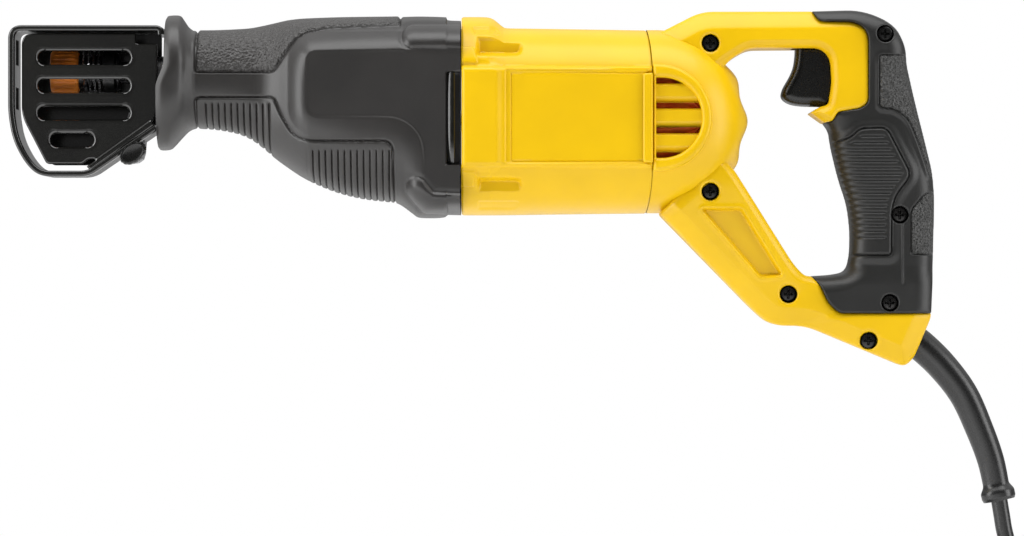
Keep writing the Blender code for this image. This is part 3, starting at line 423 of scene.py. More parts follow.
def area_light(name, place, target, size, power):
    data = bpy.data.lights.new(name, "AREA")
    data.shape = "RECTANGLE"
    data.size, data.size_y = size
    data.energy = power
    light = placed(name, data)
    light.location = place
    light.rotation_euler = (Vector(target) - Vector(place)).to_track_quat("-Z", "Y").to_euler()
    light.visible_camera = False


def make_studio():
    """A light tent: bright overhead, softer all round, and dark towards the front, where the
    photographer's side of a studio is, apart from a grey patch straight ahead of the lens."""
    scene = bpy.context.scene
    scene.view_settings.view_transform = "Standard"
    scene.view_settings.look = "None"
    world = bpy.data.worlds.new("tent")
    scene.world = world
    world.use_nodes = True
    tree = world.node_tree
    tree.nodes.clear()

    def glow(strength):
        settings = {"Color": (1, 1, 1, 1), "Strength": strength}
        return node(tree, "ShaderNodeBackground", settings).outputs["Background"]

    way = node(tree, "ShaderNodeTexCoord").outputs["Generated"]
    parts = node(tree, "ShaderNodeSeparateXYZ", {"Vector": way}).outputs
    spread = partial(remap, tree, interpolation_type="SMOOTHSTEP")
    front = spread(parts["Y"], -0.80, -0.15, 0.05, 1)
    high = spread(parts["Z"], 0.1, 0.75, 0.26, 1)
    patch = spread(parts["Y"], -0.90, -0.985, 0, 0.18)
    tent = maths(tree, "ADD", maths(tree, "MULTIPLY", front, high), patch)
    seen = node(tree, "ShaderNodeLightPath").outputs["Is Camera Ray"]
    mixed = node(tree, "ShaderNodeMixShader", {0: seen, 1: glow(tent), 2: glow(1)}).outputs["Shader"]
    node(tree, "ShaderNodeOutputWorld", {"Surface": mixed})
    area_light("overhead", (-0.15, -0.30, 1.15), (-0.15, 0, 0), (1.8, 0.8), 18)
    area_light("left", (-1.5, -0.50, 0.25), (-0.15, 0, 0), (0.8, 1.4), 19)
    area_light("right", (1.4, -0.50, 0.2), (-0.05, 0, 0), (0.8, 1.4), 16)
    area_light("under", (-0.15, -0.5, -0.37), (-0.15, -0.1, 0), (1.8, 0.6), 3)
    floor = Build()
    floor.sheet([[(r * np.cos(a), r * np.sin(a), FLOOR_Z) for a in full_turn(96)]
                 for r in (2200, 900, 300, 1)], closed=True)
    paper = finish_material("floor_paper", (0.86, 0.86, 0.86), (0.9, 0.9, 0.9), (0.7, 0.8), grain=300)
    placed("floor", floor.mesh("floor", [paper]))


# ---- cord
CORD_D = 8
COIL_CENTRE = (34.5, -239.5)
CORD_DROP = ((53.9, 0, -150.2), (55.2, 0, -158), (56.6, 0, -166), (59.9, 0, -176.8),
             (66.5, 0, -188.2))
CORD_TAIL = ((82.5, -22, -252), (82, -22, -268), (81, -22, -285), (80.5, -22, -302.5))
COIL_INNER = 37.3  # radius of the innermost layer's middle line
COIL_MIDDLE = 48  # radius of the middle of the bundle
COIL_LAYER = 7.3
COIL_TURNS = (  # layer and depth of each turn, as wound from outside in
    (3, 0), (3, 8), (2, 12), (2, 4), (2, -4), (2, -12), (1, -8), (1, 0), (1, 8),
    (0, 12), (0, 4), (0, -4), (0, -12),
)


def cord_line():
    """The cord's middle line: the drop from the sleeve, the coil, and the tail to the plug."""
    per_turn = 40
    stops = [(COIL_INNER + COIL_LAYER * layer, depth) for layer, depth in COIL_TURNS]
    stops.append((COIL_MIDDLE, -22))
    coil = []
    for turn in range(len(stops)):
        radius, depth = stops[turn]
        after = stops[min(turn + 1, len(stops) - 1)]
        leg = per_turn if turn < len(stops) - 1 else per_turn // 8
        shift_from = 0.8 if turn < len(stops) - 2 else 0.25
        for k in range(leg):
            share = float(step(k / per_turn, shift_from, 1))
            a = math.radians(45) - 2 * math.pi * k / per_turn
            r = radius + (after[0] - radius) * share
            coil.append((COIL_CENTRE[0] + r * math.cos(a), depth + (after[1] - depth) * share,
                         COIL_CENTRE[1] + r * math.sin(a)))
    drop = through(CORD_DROP + (coil[0], coil[1]), 36)
    tail = through((coil[-1],) + CORD_TAIL, 24)
    return np.vstack([drop[:-6], coil, tail[1:]])


def make_cord():
    line = cord_line()
    curve = bpy.data.curves.new("mains_cord", "CURVE")
    curve.dimensions = "3D"
    spline = curve.splines.new("POLY")
    spline.points.add(len(line) - 1)
    for place, point in zip(spline.points, line):
        place.co = (*(point * MM), 1)
    curve.bevel_depth = CORD_D / 2 * MM
    curve.bevel_resolution = 6
    curve.use_fill_caps = True
    curve.materials.append(FINISHES["cord_rubber"])
    made = placed("mains_cord", curve)
    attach(made, "housing")
    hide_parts("cord", "cord_coil", "cord_tail")
    return made


# ---- boot
RIB = 3.05  # distance from one rib to the next
FIRST_RIB_X = -329.3
FRONT_RIBS, REAR_RIBS = (-330.8, -298.2), (-280.5, -239.7)  # where the two rib fields run in X
FRONT_RIBS_TOP, REAR_RIBS_TOP = 42.3, 19.5
BOOT_TOP = profile((
    (-349.7, 82.8), (-348.8, 84.2), (-343.4, 84.3), (-341.3, 82.3), (-339.1, 79.3),
    (-337.1, 77.6), (-335.2, 77), (-325.5, 77), (-313.9, 77.5), (-308.1, 78),
    (-302.3, 79.1), (-296.5, 80.4), (-290.6, 81.7), (-284.8, 82.4), (-279, 82.7),
    (-267.4, 83.1), (-255.8, 83.3), (-238.3, 83.5), (-226.7, 83.8), (-215.1, 83.5),
    (-213.6, 83.1), (-212.9, 82), (-206.4, 81.7),
))
BOOT_BOTTOM = profile((
    (-349.7, 20.3), (-348.8, 19.2), (-344.9, 19.4), (-343, 21.3), (-340.5, 25.2),
    (-338.1, 28.3), (-335.2, 29.6), (-331.3, 29.5), (-325.5, 29), (-319.7, 28.1),
    (-313.9, 26.7), (-308.1, 24.1), (-302.3, 19.9), (-296.5, 15), (-290.6, 10.7),
    (-284.8, 6.8), (-279, 3.6), (-273.2, 1), (-267.4, -1.2), (-261.6, -2.9),
    (-255.8, -4.2), (-250, -5.1), (-243.2, -5.8), (-237.8, -6.6), (-234.4, -8.4),
    (-230.1, -11.6), (-227.2, -13.4), (-220.9, -13.8), (-215.1, -13.5), (-213.6, -12.6),
    (-212.9, -11.2), (-206.4, -11),
))
BOOT_HALF = profile((
    (-349.9, 29.5), (-346, 31), (-341.5, 29.6), (-338.5, 26.8), (-335, 24.2), (-331, 23.5),
    (-310, 23.5), (-304, 23.8), (-299, 25.6), (-294.5, 28.6), (-290, 32.2), (-285, 36),
    (-281, 38.2), (-277, 39), (-264, 39.3), (-245, 39.9), (-227, 40.9), (-215, 41.6),
    (-212, 41), (-206.7, 40.8),
))
BOOT_ENDS = (-349.9, -206.9)
UPPER_PAD = rounded((
    (-334.2, 56.4, 1.5), (-296.8, 56.4, 2.5), (-290.5, 65.8, 4), (-283.8, 74.9, 7), (-269.4, 77.6, 4),
    (-235.9, 78.8, 0.6), (-235.9, 88.8, 0), (-334.2, 88.8, 0),
))
LOWER_PAD = rounded((
    (-334.2, 44.2, 2.5), (-296.5, 44.2, 2.5), (-292.9, 35.1, 5), (-285.3, 22.9, 9), (-239.2, 22.9, 5),
    (-238.3, -24.4, 0), (-334.2, -24.4, 0),
))
SIDE_PANEL = rounded((
    (-280, 65.6, 5), (-197.4, 66.6, 0), (-197.4, -3.4, 0), (-219.4, -3.4, 2), (-224.2, 0.4, 3),
    (-224.2, 24.3, 9), (-234.7, 34.6, 8), (-280, 34.6, 6),
))
SIDE_PANEL_Y = 39.6
PLATE_WINDOW = block(-213.4, -202.2, 56, 11.6, 0.8)
UPPER_LOG = np.array(((-228.9, 73.2), (-199.8, 73.2)))
LOWER_LOG = np.array(((-228, 0.4), (-222.2, -6.7), (-199.8, -7.7)))


def ring(x, top, bottom, half, power, count):
    """Evenly spaced points round a rounded-square section across X, from the middle of its top."""
    a = np.linspace(0, 2 * np.pi, 1441)
    y = half * squarish(np.sin(a), 2 / power)
    z = (top + bottom) / 2 + (top - bottom) / 2 * squarish(np.cos(a), 2 / power)
    run = np.concatenate([[0], np.cumsum(np.hypot(np.diff(y), np.diff(z)))])
    at = np.linspace(0, run[-1], count, endpoint=False)
    return np.stack([np.full(count, x), np.interp(at, run, y), np.interp(at, run, z)], -1)


def outward(rows):
    """Directions out of rows of rings that run along +X, leaning little along X."""
    along = np.gradient(rows, axis=0)
    around = (np.roll(rows, -1, 1) - np.roll(rows, 1, 1)) / 2
    normal = np.cross(along, around)
    normal[..., 0] *= 0.3
    return normal / np.maximum(np.linalg.norm(normal, axis=-1, keepdims=True), 1e-9)


def drawn_in(edge, height, steps):
    """Rings that close in from an edge ring, by (share, shift along X) steps."""
    middle = np.array((0.0, 0.0, height))
    return [middle + (edge - middle) * (1, share, share) + (shift, 0, 0) for share, shift in steps]


def log_rise(line, x, z, reach, power):
    """The section of a raised log along a line, and how far points are from the line."""
    gap = abs(away(line, x, z, closed=False))
    return fade((gap / reach) ** 2, 1, power), gap


def make_boot():
    count = 520
    xs = np.arange(FIRST_RIB_X - 60 * RIB, BOOT_ENDS[1], RIB / 6)
    xs = np.concatenate([[BOOT_ENDS[0]], xs[xs > BOOT_ENDS[0] + 0.3], [BOOT_ENDS[1]]])
    rows = np.array([
        ring(x, BOOT_TOP(x), BOOT_BOTTOM(x), BOOT_HALF(x), 2.4 + 0.5 * float(step(x, -305, -250)), count)
        for x in xs
    ])
    x, y, z = np.moveaxis(rows, -1, 0)
    normal = outward(rows)
    panel = away(SIDE_PANEL, x, z)
    lift = (SIDE_PANEL_Y - abs(y)) * fade(panel + 0.3, 10, 1.4)
    on_side = step(abs(normal[..., 1]), 0.25, 0.6)
    side = np.sign(y)
    y = y + side * lift * on_side * (abs(y) > FLANK) - side * 0.5 * step(-panel, -0.7, 0.5) * on_side
    rows = np.stack([x, y, z], -1)

    upper, lower = away(UPPER_PAD, x, z), away(LOWER_PAD, x, z)
    move = -1.1 * ridge(upper, 0.6) - 1.1 * ridge(lower, 0.5)
    move += 0.35 * step(-upper, 0.4, 1.6)
    phase = ((x - FIRST_RIB_X) / RIB + 0.5) % 1 - 0.5
    cut = ridge(phase * RIB, 0.40)
    in_front = (x > FRONT_RIBS[0]) & (x < FRONT_RIBS[1])
    start = np.where(in_front, FRONT_RIBS_TOP, REAR_RIBS_TOP)
    field = in_front | ((x > REAR_RIBS[0]) & (x < REAR_RIBS[1]))
    move -= 0.95 * cut * field * step(z, start, start - 2)
    log, gap = log_rise(UPPER_LOG, x, z, 5.8, 0.7)
    move += 2.6 * log - 0.5 * ridge(gap - 6.4, 1.2)
    log, gap = log_rise(LOWER_LOG, x, z, 5.2, 0.85)
    move += 2.2 * log - 0.25 * ridge(gap - 5.6, 1.3)
    move -= 6.5 * step(-away(PLATE_WINDOW, x, z), -0.2, 0.5) * on_side
    rows = rows + outward(rows) * move[..., None]
    rows[..., 0] += (0.7 - 3.8 * step(z, 62, 48.4)) * step(x, -336, -347)

    mouth = drawn_in(rows[0], 53, ((0.97, 0), (0.8, 0.3), (0.66, 0.6), (0.62, 2.5), (0.62, 16)))
    tail = drawn_in(rows[-1], 35, ((0.985, 0), (0.93, -0.2)))
    rows = np.concatenate([mouth[::-1], rows, tail])
    mid = (rows[:-1] + rows[1:]) / 2
    pads = (away(UPPER_PAD, mid[..., 0], mid[..., 2]) < 0) & (mid[..., 0] > -335.7)
    build = Build()
    build.sheet(rows, closed=True, flip=True)
    build.paints = pads.reshape(-1).astype(int).tolist()
    build.piece("boot_moulding", "housing", "boot_rubber", ("boot",), ("boot_rubber", "boot_pad"))


# ---- gear case plate
def make_gear_case_plate():
    build = Build()
    stations = ((-215.9, 34), (-215, 36), (-213.8, 37.5), (-212.4, 38.6), (-211, 39.3),
                (-209.8, 39.6), (-209.5, 39.3), (-209.4, 31), (-207.2, 30))
    rows = [ring(x, 37 + half, 37 - half, half, 3.6, 160) for x, half in stations]
    front, rear = [drawn_in(row, 37, ((0.2, 0),)) for row in (rows[0], rows[-1])]
    build.sheet(front + rows + rear, closed=True, flip=True)
    build.piece("gear_case_cover", "housing", "black_gloss", ("gear_case_plate",))


# ---- motor case
MOTOR_MIDDLE_Z = 33
CASE_TOP = profile((
    (-206.6, 83.6), (-197.6, 83.6), (-193.8, 83.4), (-191.3, 82.6), (-188.9, 80.8),
    (-186.5, 78.9), (-184.1, 78.2), (-173.4, 78), (-139.5, 77.5), (-116.3, 77.1),
))
CASE_BOTTOM = profile((
    (-206.6, -12.3), (-187.9, -12.3), (-158.9, -11.9), (-116.3, -11.4),
))
CASE_HALF = profile(((-206.5, 41.4), (-194, 41.2), (-184, 40.4), (-116, 40)))
CASE_ENDS = (-206.4, -117.4)
SEAM_BOW = 2.6  # how far the case's rear edge bows backwards at mid height
SEAM_X = -116
BELL_RISE, BELL_REACH = 44.3, 43.2  # the rear dome's half height, and how far back it goes
SIDE_FLAT = block(-206.5, -97.1, 58.7, 10.2)
SIDE_FLAT_Y = 39.6
BODY_SIDE_Y = 37.5
SIDE_BLOCK = block(-209.4, -190, 57, 11.4, 0, 2)
LABEL_FIELD = block(-185.2, -92.4, 57.1, 12.4, 0.8)
LABEL_LINE = block(-182.4, -92.4, 55.4, 13.1, 0.5)
SEAM_TAB = block(-119.5, -114.8, 55.3, 12.5, 1.3, 0.5)
CASE_BUMPS = (  # outlines of moulding marks, and how far they stand out
    (rounded(((-209.4, 67.8, 0), (-200.3, 67.8, 2), (-198.4, 60.1, 1), (-209.4, 60.1, 0))), 1.3),
    (rounded(((-209.4, 9, 0), (-198.8, 9, 2), (-200.3, 1.4, 1), (-209.4, 1.4, 0))), 1.3),
    (rounded(((-201.2, 78, 1), (-189.8, 78, 2), (-187.9, 74.4, 1.6), (-200.3, 74.4, 1.6))), -0.9),
    (rounded(((-198.4, -5.8, 1), (-178.3, -5.8, 2), (-180.2, -9.6, 2), (-198.4, -9.6, 1))), -0.5),
)
CASE_POCKETS = (  # cut straight in from the side, to these half widths at their two ends
    (rounded(((-199.3, 73.2, 1), (-176.9, 73.2, 4), (-176.9, 63.7, 4), (-199.3, 63.7, 1.5))), 29.6, 27.6),
    (rounded(((-198.8, 5.7, 1.5), (-176.9, 5.7, 4), (-176.9, -2.4, 4), (-198.8, -2.4, 1.5))), 30.6, 30.6),
)


def seam_bow(x, z):
    share = np.clip(abs(z - MOTOR_MIDDLE_Z) / BELL_RISE, 0, 1)
    return SEAM_BOW * (1 - share ** 4) * step(x, -145, SEAM_X)


def make_field_case():
    xs = np.linspace(CASE_ENDS[0], CASE_ENDS[1], 208)
    rows = np.array([ring(x, CASE_TOP(x), CASE_BOTTOM(x), CASE_HALF(x), 2.5, 460) for x in xs])
    x, y, z = np.moveaxis(rows, -1, 0)
    side = np.where(y < 0, -1, 1)
    wide = abs(y)
    wide = np.where(wide > FLANK, np.minimum(wide, BODY_SIDE_Y), wide)
    on_side = wide > 30
    wide = wide + (SIDE_FLAT_Y - wide) * (1 - crown(-away(SIDE_FLAT, x, z), 2.4, 1.6)) * on_side
    wide += 1.6 * step(-away(SIDE_BLOCK, x, z), -4.2, 0.3) * on_side
    wide -= 0.9 * step(-away(LABEL_FIELD, x, z), -0.4, 0.4) * on_side
    wide -= 0.55 * ridge(away(LABEL_LINE, x, z), 0.34) * on_side
    wide -= 0.9 * ridge(away(SEAM_TAB, x, z) - 0.6, 0.45) * on_side
    for outline, front, rear in CASE_POCKETS:
        floor = front + (rear - front) * step(x, -194.6, -184)
        wide -= np.maximum(wide - floor, 0) * step(-away(outline, x, z), -0.4, 2)
    rows = np.stack([x, side * wide, z], -1)
    move = np.zeros(x.shape)
    for outline, rise in CASE_BUMPS:
        move += rise * step(-away(outline, x, z), -0.5, 0.7) * (wide > 8)
    move -= 0.5 * step(x, CASE_ENDS[0] + 0.9, CASE_ENDS[0]) + 0.4 * step(x, CASE_ENDS[1] - 0.7, CASE_ENDS[1])
    rows = rows + outward(rows) * move[..., None]
    rows[..., 0] += seam_bow(rows[..., 0], rows[..., 2])
    front = drawn_in(rows[0], MOTOR_MIDDLE_Z, ((0.965, 0), (0.955, 2.5)))
    rear = drawn_in(rows[-1], MOTOR_MIDDLE_Z, ((0.965, 0), (0.955, -2.5)))
    build = Build()
    build.sheet(np.concatenate([front[::-1], rows, rear]), closed=True, flip=True)
    build.piece("motor_case_shell", "housing", "yellow_plastic", ("field_case",))


# ---- handle
BELL_CENTRE = (-112.4, 33)
BELL_INNER = 24.6
VENT_CENTRE = (-112.2, 34)  # of the round rim
VENT_RIM_R = 25.6
VENT_HOLE = (-110.5, 34)  # of the round end of the vent
VENT_HOLE_R = 19.2
VENT_LEFT = -113.2
SLAT_GAPS = ((53.4, 50.2), (41.3, 38.3), (29.5, 26.5), (17.6, 13.8))
# Runs of corners that two outlines share.
CREST = ((-108.6, 76.7, 3), (-91, 85.7, 6))
REAR = ((-13.3, 86.6, 8), (2.6, 79.7, 9), (7.9, 68.3, 5), (8.4, 60.6, 4), (12.5, 42.3, 8), (17.5, 22.5, 8),
        (21.1, 7.6, 6), (22, -4, 6), (21.4, -29.1, 2))
FOOT = ((19.7, -62.4, 2), (11.7, -81.2, 3), (7.2, -85.5, 3), (-40.3, -65.7, 7), (-57.2, -65.7, 8),
        (-66.4, -57.6, 5))
OPENING_TOP = ((-78, 62.1, 5), (-68.3, 68, 4), (-33.6, 68.2, 4), (-28.8, 63.5, 4), (-28, 51, 4),
               (-29.7, 40.8, 2))
GRIP_FRONT = ((-28.8, 28.3, 3), (-27.8, 21.1, 5), (-23.9, 4.7, 8), (-19.8, -6.9, 6), (-18.2, -20.4, 6),
              (-18.6, -32, 4), (-20.6, -39.7, 6), (-27.8, -41.2, 4))
COLOUR_BORDER = (  # where the black grip meets the yellow shell at the top, from front to rear
    (-37.5, 85.9, 0.5), (-34, 81.1, 1.5), (-16, 80.9, 5), (-10.3, 75.4, 5), (-10.4, 41.5, 3),
    (-14.5, 38.9, 2), (-25.1, 37.6, 1.5), (-27.9, 33.1, 1), (-31.7, 32.2, 0.5),
)
LOWER_BORDER = (  # and at the bottom
    (-37.9, -41.8, 0.6), (-33.4, -46.5, 2), (-29.8, -54.7, 3), (-24.5, -59.5, 2), (20, -59.6, 0.6),
)
HANDLE_SILHOUETTE = rounded((
    (-139.7, 43.2, 0), (-113.2, 75.1, 0), *CREST, (-37.4, 86.1, 0), *REAR, (20.7, -58, 1.6), *FOOT,
    (-111.7, -11.3, 3), (-139.7, -11.3, 0),
))
HAND_OPENING = rounded((
    (-91.5, 50.5, 0), *OPENING_TOP, (-34.6, 39.6, 2), (-38.4, 37, 0.5), (-31.7, 32.6, 1), *GRIP_FRONT,
    (-41.3, -41.9, 5), (-46.6, -35.9, 5), (-76, 10.4, 4), (-91.5, 28.8, 0),
))
YELLOW = rounded((
    (-95.3, 10.4, 0), (-96.3, 52.9, 0), (-105, 62.5, 0), (-111.2, 75.4, 0.5), *CREST, *COLOUR_BORDER,
    (-38.4, 37, 0.5), (-33.6, 39.9, 1), *reversed(OPENING_TOP), (-85.7, 50.5, 0), (-85.7, 19.1, 0),
    (-76, 10.4, 4), (-46.6, -35.9, 5), (-41.3, -41.5, 3), *LOWER_BORDER, *FOOT, (-111.2, -11.5, 2),
    (-103, -3.5, 3),
))
GRIP = rounded((*REAR, *reversed(LOWER_BORDER), *reversed(GRIP_FRONT), *reversed(COLOUR_BORDER)))
STRUT_ROOT = np.array(((-114.8, -14.7), (-96.5, 1.7)))
STRUT_RECESS = rounded(((-91.2, -9.4, 1.6), (-71.9, -9.4, 1.6), (-52.2, -41.2, 1.5), (-62.8, -41.9, 1.6)))
CORD_SKIRT = rounded((  # the thicker foot round the cord's sleeve
    (-55.6, -68.1, 0), (-19.5, -60.9, 8), (33.5, -59, 0), (33.5, -101.3, 0), (-55.6, -101.3, 0),
))
YELLOW_SCREWS = ((-86.7, 70.3), (-86.9, -1.1), (-49, -50.4), (-10.3, -72.8))
GRIP_SCREWS = ((-2.4, 75), (-0.2, -54.6), (4.6, -12.2))
HOLE_R = 4.05
BAR_HALF = 17
GRIP_HALF = 19


def holes_cut(outline, screws, side):
    """A region inside an outline with the screw holes of the near side taken out."""
    def region(x, z):
        gap = away(outline, x, z)
        if side == NEAR:
            for hx, hz in screws:
                gap = np.maximum(gap, HOLE_R - np.hypot(x - hx, z - hz))
        return gap
    return region


def trigger_gap(x, z):
    """How far from the middle plane the handle's inner wall stops: open where the trigger slides."""
    open_here = (x > -47) & (x < -26.5) & (z > 40.5) & (z < 71)
    return np.where(open_here, 10.4, 0)


def bar_height(x, z, depth):
    outer = -away(HANDLE_SILHOUETTE, x, z)
    inner = away(HAND_OPENING, x, z)
    high = BAR_HALF - 5.4 * fade(outer, 8.6, 1.2) - 2.6 * fade(inner, 3.8, 1.2)
    from_motor = np.hypot(x - BELL_CENTRE[0], z - BELL_CENTRE[1])
    high += (5.5 + 5 * step(z, 30, 0)) * np.clip((108 - from_motor) / 70, 0, 1) ** 1.3
    high -= 2.4 * fade(away(STRUT_ROOT, x, z, closed=False), 6, 1.5)
    recess = away(STRUT_RECESS, x, z)
    high += 0.5 * ridge(recess - 1.1, 0.9) - 2.6 * step(-recess, -0.3, 0.8)
    high += 1.2 * step(-away(CORD_SKIRT, x, z), -3, 1.5)
    return high - 1.4 * crown(depth, 2.3, 2.2)


def bell_rows(side):
    """The motor end: a half dome swept round the rear of the case, from its rim to the vent."""
    angles = np.radians(np.linspace(90, -90, 261))
    lobe = np.cos(angles * 12.4) * step(abs(angles), 0.92, 0.68)
    lobe = np.concatenate([[0, 0], lobe, [0, 0]])
    angles = np.concatenate([[np.pi / 2] * 2, angles, [-np.pi / 2] * 2])
    straight = np.array([1, 0.5] + [0] * 261 + [0.5, 1])  # 1 at the seam with the case
    shares = np.concatenate([np.linspace(0, 0.3, 10, endpoint=False) ** 2 * 1.3, np.linspace(0.12, 1, 46)])
    rows = []
    for share in shares:
        rho = 1 - share * (1 - BELL_INNER / BELL_RISE)
        y = min(39.9 * (1 - rho ** 2.5) ** 0.4, 38.3)
        swell = 1.1 * lobe * step(y, 19, 9)
        x = BELL_CENTRE[0] + (BELL_REACH + swell) * np.cos(angles) * (1 - share)
        x += share * (VENT_CENTRE[0] - BELL_CENTRE[0] + BELL_INNER * np.cos(angles))
        z = BELL_CENTRE[1] + BELL_RISE * np.sin(angles) * (1 - share)
        z += share * (VENT_CENTRE[1] - BELL_CENTRE[1] + BELL_INNER * np.sin(angles))
        seam = CASE_ENDS[1] + 0.25 + seam_bow(SEAM_X, z)
        x = x + (seam - x) * straight
        rows.append(np.stack([x, np.full(x.shape, side * y), z], -1))
    return np.array(rows)


def stadium(x, z, centre, radius):
    """How far points are from a round end about the centre that runs on straight to its left."""
    gap = np.where(x < centre[0], abs(z - centre[1]), np.hypot(x - centre[0], z - centre[1]))
    return gap - radius


def vent_hole(x, z):
    return np.maximum(stadium(x, z, VENT_HOLE, VENT_HOLE_R), VENT_LEFT - x)


def vent_rim_region(x, z):
    gap = stadium(x, z, VENT_CENTRE, VENT_RIM_R)
    return np.maximum(np.maximum(gap, VENT_LEFT - 1.4 - x), -vent_hole(x, z))


def vent_slat_region(x, z):
    whole = vent_hole(x, z) - 0.6
    for high, low in SLAT_GAPS:
        middle, half = (high + low) / 2, (high - low) / 2
        whole = np.maximum(whole, half - abs(z - middle))
    return whole


def slat_height(x, z, depth):
    fall = np.zeros(np.shape(x))
    for high, low in SLAT_GAPS:
        above = step(z - high, 3, 0.2) * (z > high)
        below = 0.5 * step(low - z, 0.9, 0) * (z < low)
        fall = np.maximum(fall, above + below)
    return 37.6 - 1.5 * fall


def make_handle_shell(side, word):
    build = Build()
    relief(build, holes_cut(YELLOW, YELLOW_SCREWS, side), (-121, 22, -87, 88), bar_height,
           (0.48, 0.48), side, back=trigger_gap)
    build.sheet(bell_rows(side), flip=side == NEAR)
    rim_box = (-115.5, -84, 7.5, 61.5)
    relief(build, vent_rim_region, rim_box, edged(39.5, 1.6, 2.2, 1.7), (0.4, 0.4), side, back=33)
    relief(build, vent_slat_region, rim_box, slat_height, (0.4, 0.4), side, back=32.5)
    relief(build, partial(away, SEAM_TAB), (-119, -112, 12, 58), edged(40.6, 1, 1, 2),
           (0.4, 0.4), side, back=36)
    build.piece("handle_shell_" + word, "housing", "yellow_plastic", ("handle_" + word,))
    # A reddish sheet behind the vent slats, coloured as painted glow: it stands in for light seen through
    # the yellow plastic inside the vent.
    glow_sheet = Build()
    rows = []
    for x in np.linspace(VENT_LEFT - 1, VENT_HOLE[0] + VENT_HOLE_R, 24):
        reach = 1.5 + math.sqrt(VENT_HOLE_R ** 2 - min(max(x - VENT_HOLE[0], 0), VENT_HOLE_R) ** 2)
        rows.append([(x, side * (31.4 + 0.6 * math.cos(1.9 * k)), VENT_HOLE[1] + reach * k / 12)
                     for k in range(-12, 13)])
    glow_sheet.sheet(rows, flip=side == NEAR)
    glow_sheet.piece("vent_painted_glow_sheet_" + word, "housing", "yellow_plastic", (), ("vent_painted_glow",))


RIB_PANEL = rounded((
    (-43.5, 22.1, 0), (-27.2, 22.4, 2), (-19, 25, 3), (-14.7, 29.4, 3), (-1.7, 29.8, 3.5),
    (10.1, 7, 4), (2.4, -3.1, 3.5), (0.7, -9.9, 3), (0.5, -31.7, 2), (-43.5, -31.7, 0),
))
UPPER_GRIP_PAD = rounded((
    (-5.2, 64.7, 1.5), (33.5, 64.7, 0), (33.5, 6.5, 0), (19.5, 6.7, 1), (14.7, 20, 4),
    (8.9, 33.9, 5), (2.2, 38.7, 3), (-5.2, 39.5, 2),
))
LOWER_GRIP_PAD = rounded((
    (10.1, -9.9, 2), (17.1, -1.6, 3), (33.5, -1.6, 0), (33.5, -31.2, 0), (10.1, -31.2, 1.5),
))
GRIP_CREASE = np.array(((6, -15.6), (6, -45.5)))


def grip_height(x, z, depth):
    outer = np.minimum(-away(HANDLE_SILHOUETTE, x, z), away(HAND_OPENING, x, z))
    blocky = np.maximum(step(z, 58, 72), step(z, -36, -46))
    round_edge = GRIP_HALF * crown(outer, 15, 2.3) * 0.62
    box_edge = 6.4 * crown(outer, 8.5, 1.5)
    high = GRIP_HALF - round_edge * (1 - blocky) - box_edge * blocky
    ribs = away(RIB_PANEL, x, z)
    upper, lower = away(UPPER_GRIP_PAD, x, z), away(LOWER_GRIP_PAD, x, z)
    high -= ridge(ribs, 0.4) + 0.8 * ridge(upper, 0.4) + 0.8 * ridge(lower, 0.4)
    high += 0.35 * step(-np.minimum(upper, lower), 0.3, 1.4) + 0.3 * step(-ribs, 0.3, 1.6)
    phase = ((z - 25.5) / RIB + 0.5) % 1 - 0.5
    ends = np.minimum(step(-ribs, 2.2, 3.6), step(z, -24.8, -22.9))
    high -= 0.65 * ridge(phase * RIB, 0.5) * ends
    high -= 0.5 * ridge(away(GRIP_CREASE, x, z, closed=False), 0.5)
    high -= 0.9 * step(ribs, 1, 5) * step(upper, 0.5, 3) * (1 - blocky)
    return high - 0.9 * crown(depth, 0.9, 2)


def grip_paint(x, z):
    return (away(UPPER_GRIP_PAD, x, z) < 0) | (away(LOWER_GRIP_PAD, x, z) < 0)


def make_grip(side, word):
    build = Build()
    relief(build, holes_cut(GRIP, GRIP_SCREWS, side), (-38, 25, -61, 88), grip_height,
           (0.42, RIB / 8), side, paint=grip_paint)
    build.piece("grip_shell_" + word, "housing", "grip_rubber", ("grip_" + word,),
                ("grip_rubber", "grip_pad"))


TRIGGER = rounded((
    (-45, 70.7, 0), (-45.1, 63.9, 6), (-46.3, 57.2, 9), (-51.5, 48.4, 3), (-52.2, 44.3, 2.4),
    (-48.4, 41.4, 3), (-42.6, 40.4, 3), (-31, 40.2, 2), (-28.8, 42.1, 2), (-27.3, 51.3, 4),
    (-28.3, 63.9, 4), (-30, 67.8, 2), (-30, 70.7, 0),
))


def trigger_height(x, z, depth):
    return 9.6 - 4.2 * crown(depth, 5, 2.1) * step(x, -28, -36) - crown(depth, 1.4, 2)


def make_trigger():
    build = Build()
    for side in (NEAR, FAR):
        relief(build, partial(away, TRIGGER), (-53, -26, 39, 72), trigger_height, (0.4, 0.4), side)
    build.piece("trigger_moulding", "trigger", "black_plastic", ("trigger",))


# ---- shoe
STRAP_HALF, STRAP_THICK = 20, 2.8
STRAP_LINE = rounded((
    (-351.2, 74.6, 0), (-351.4, 77.6, 2.4), (-423.1, 77.7, 5.2), (-423.1, 36.8, 5), (-421, 24.3, 9),
    (-415.2, 13.4, 9), (-409, 7.6, 5), (-385.9, 7.6, 4), (-353.4, 29.8, 0),
), 10)
BLADE_SLOTS = ((38.5, 50.5), (59.5, 73))
GUARD_REAR = ((-352.7, 37.3, 3), (-356, 31.2, 0.5), (-381.5, 13.6, 0.6))
GUARD_FRONT = ((-389, 12.2, 1.2), (-406, 12.2, 1.6), (-418, 35.3, 5))
GUARD = rounded((
    (-418, 75.1, 5.6), (-363, 75.1, 0.5), (-363, 70.2, 0.7), (-352.7, 70.2, 0.8), *GUARD_REAR,
    (-383.5, 14.7, 0.8), (-386.1, 14.5, 0.8), *GUARD_FRONT,
))
PLAIN_GUARD = rounded((
    (-418, 75.1, 5.6), (-413, 76.2, 2), (-352.7, 76.2, 0.6), *GUARD_REAR, *GUARD_FRONT,
))
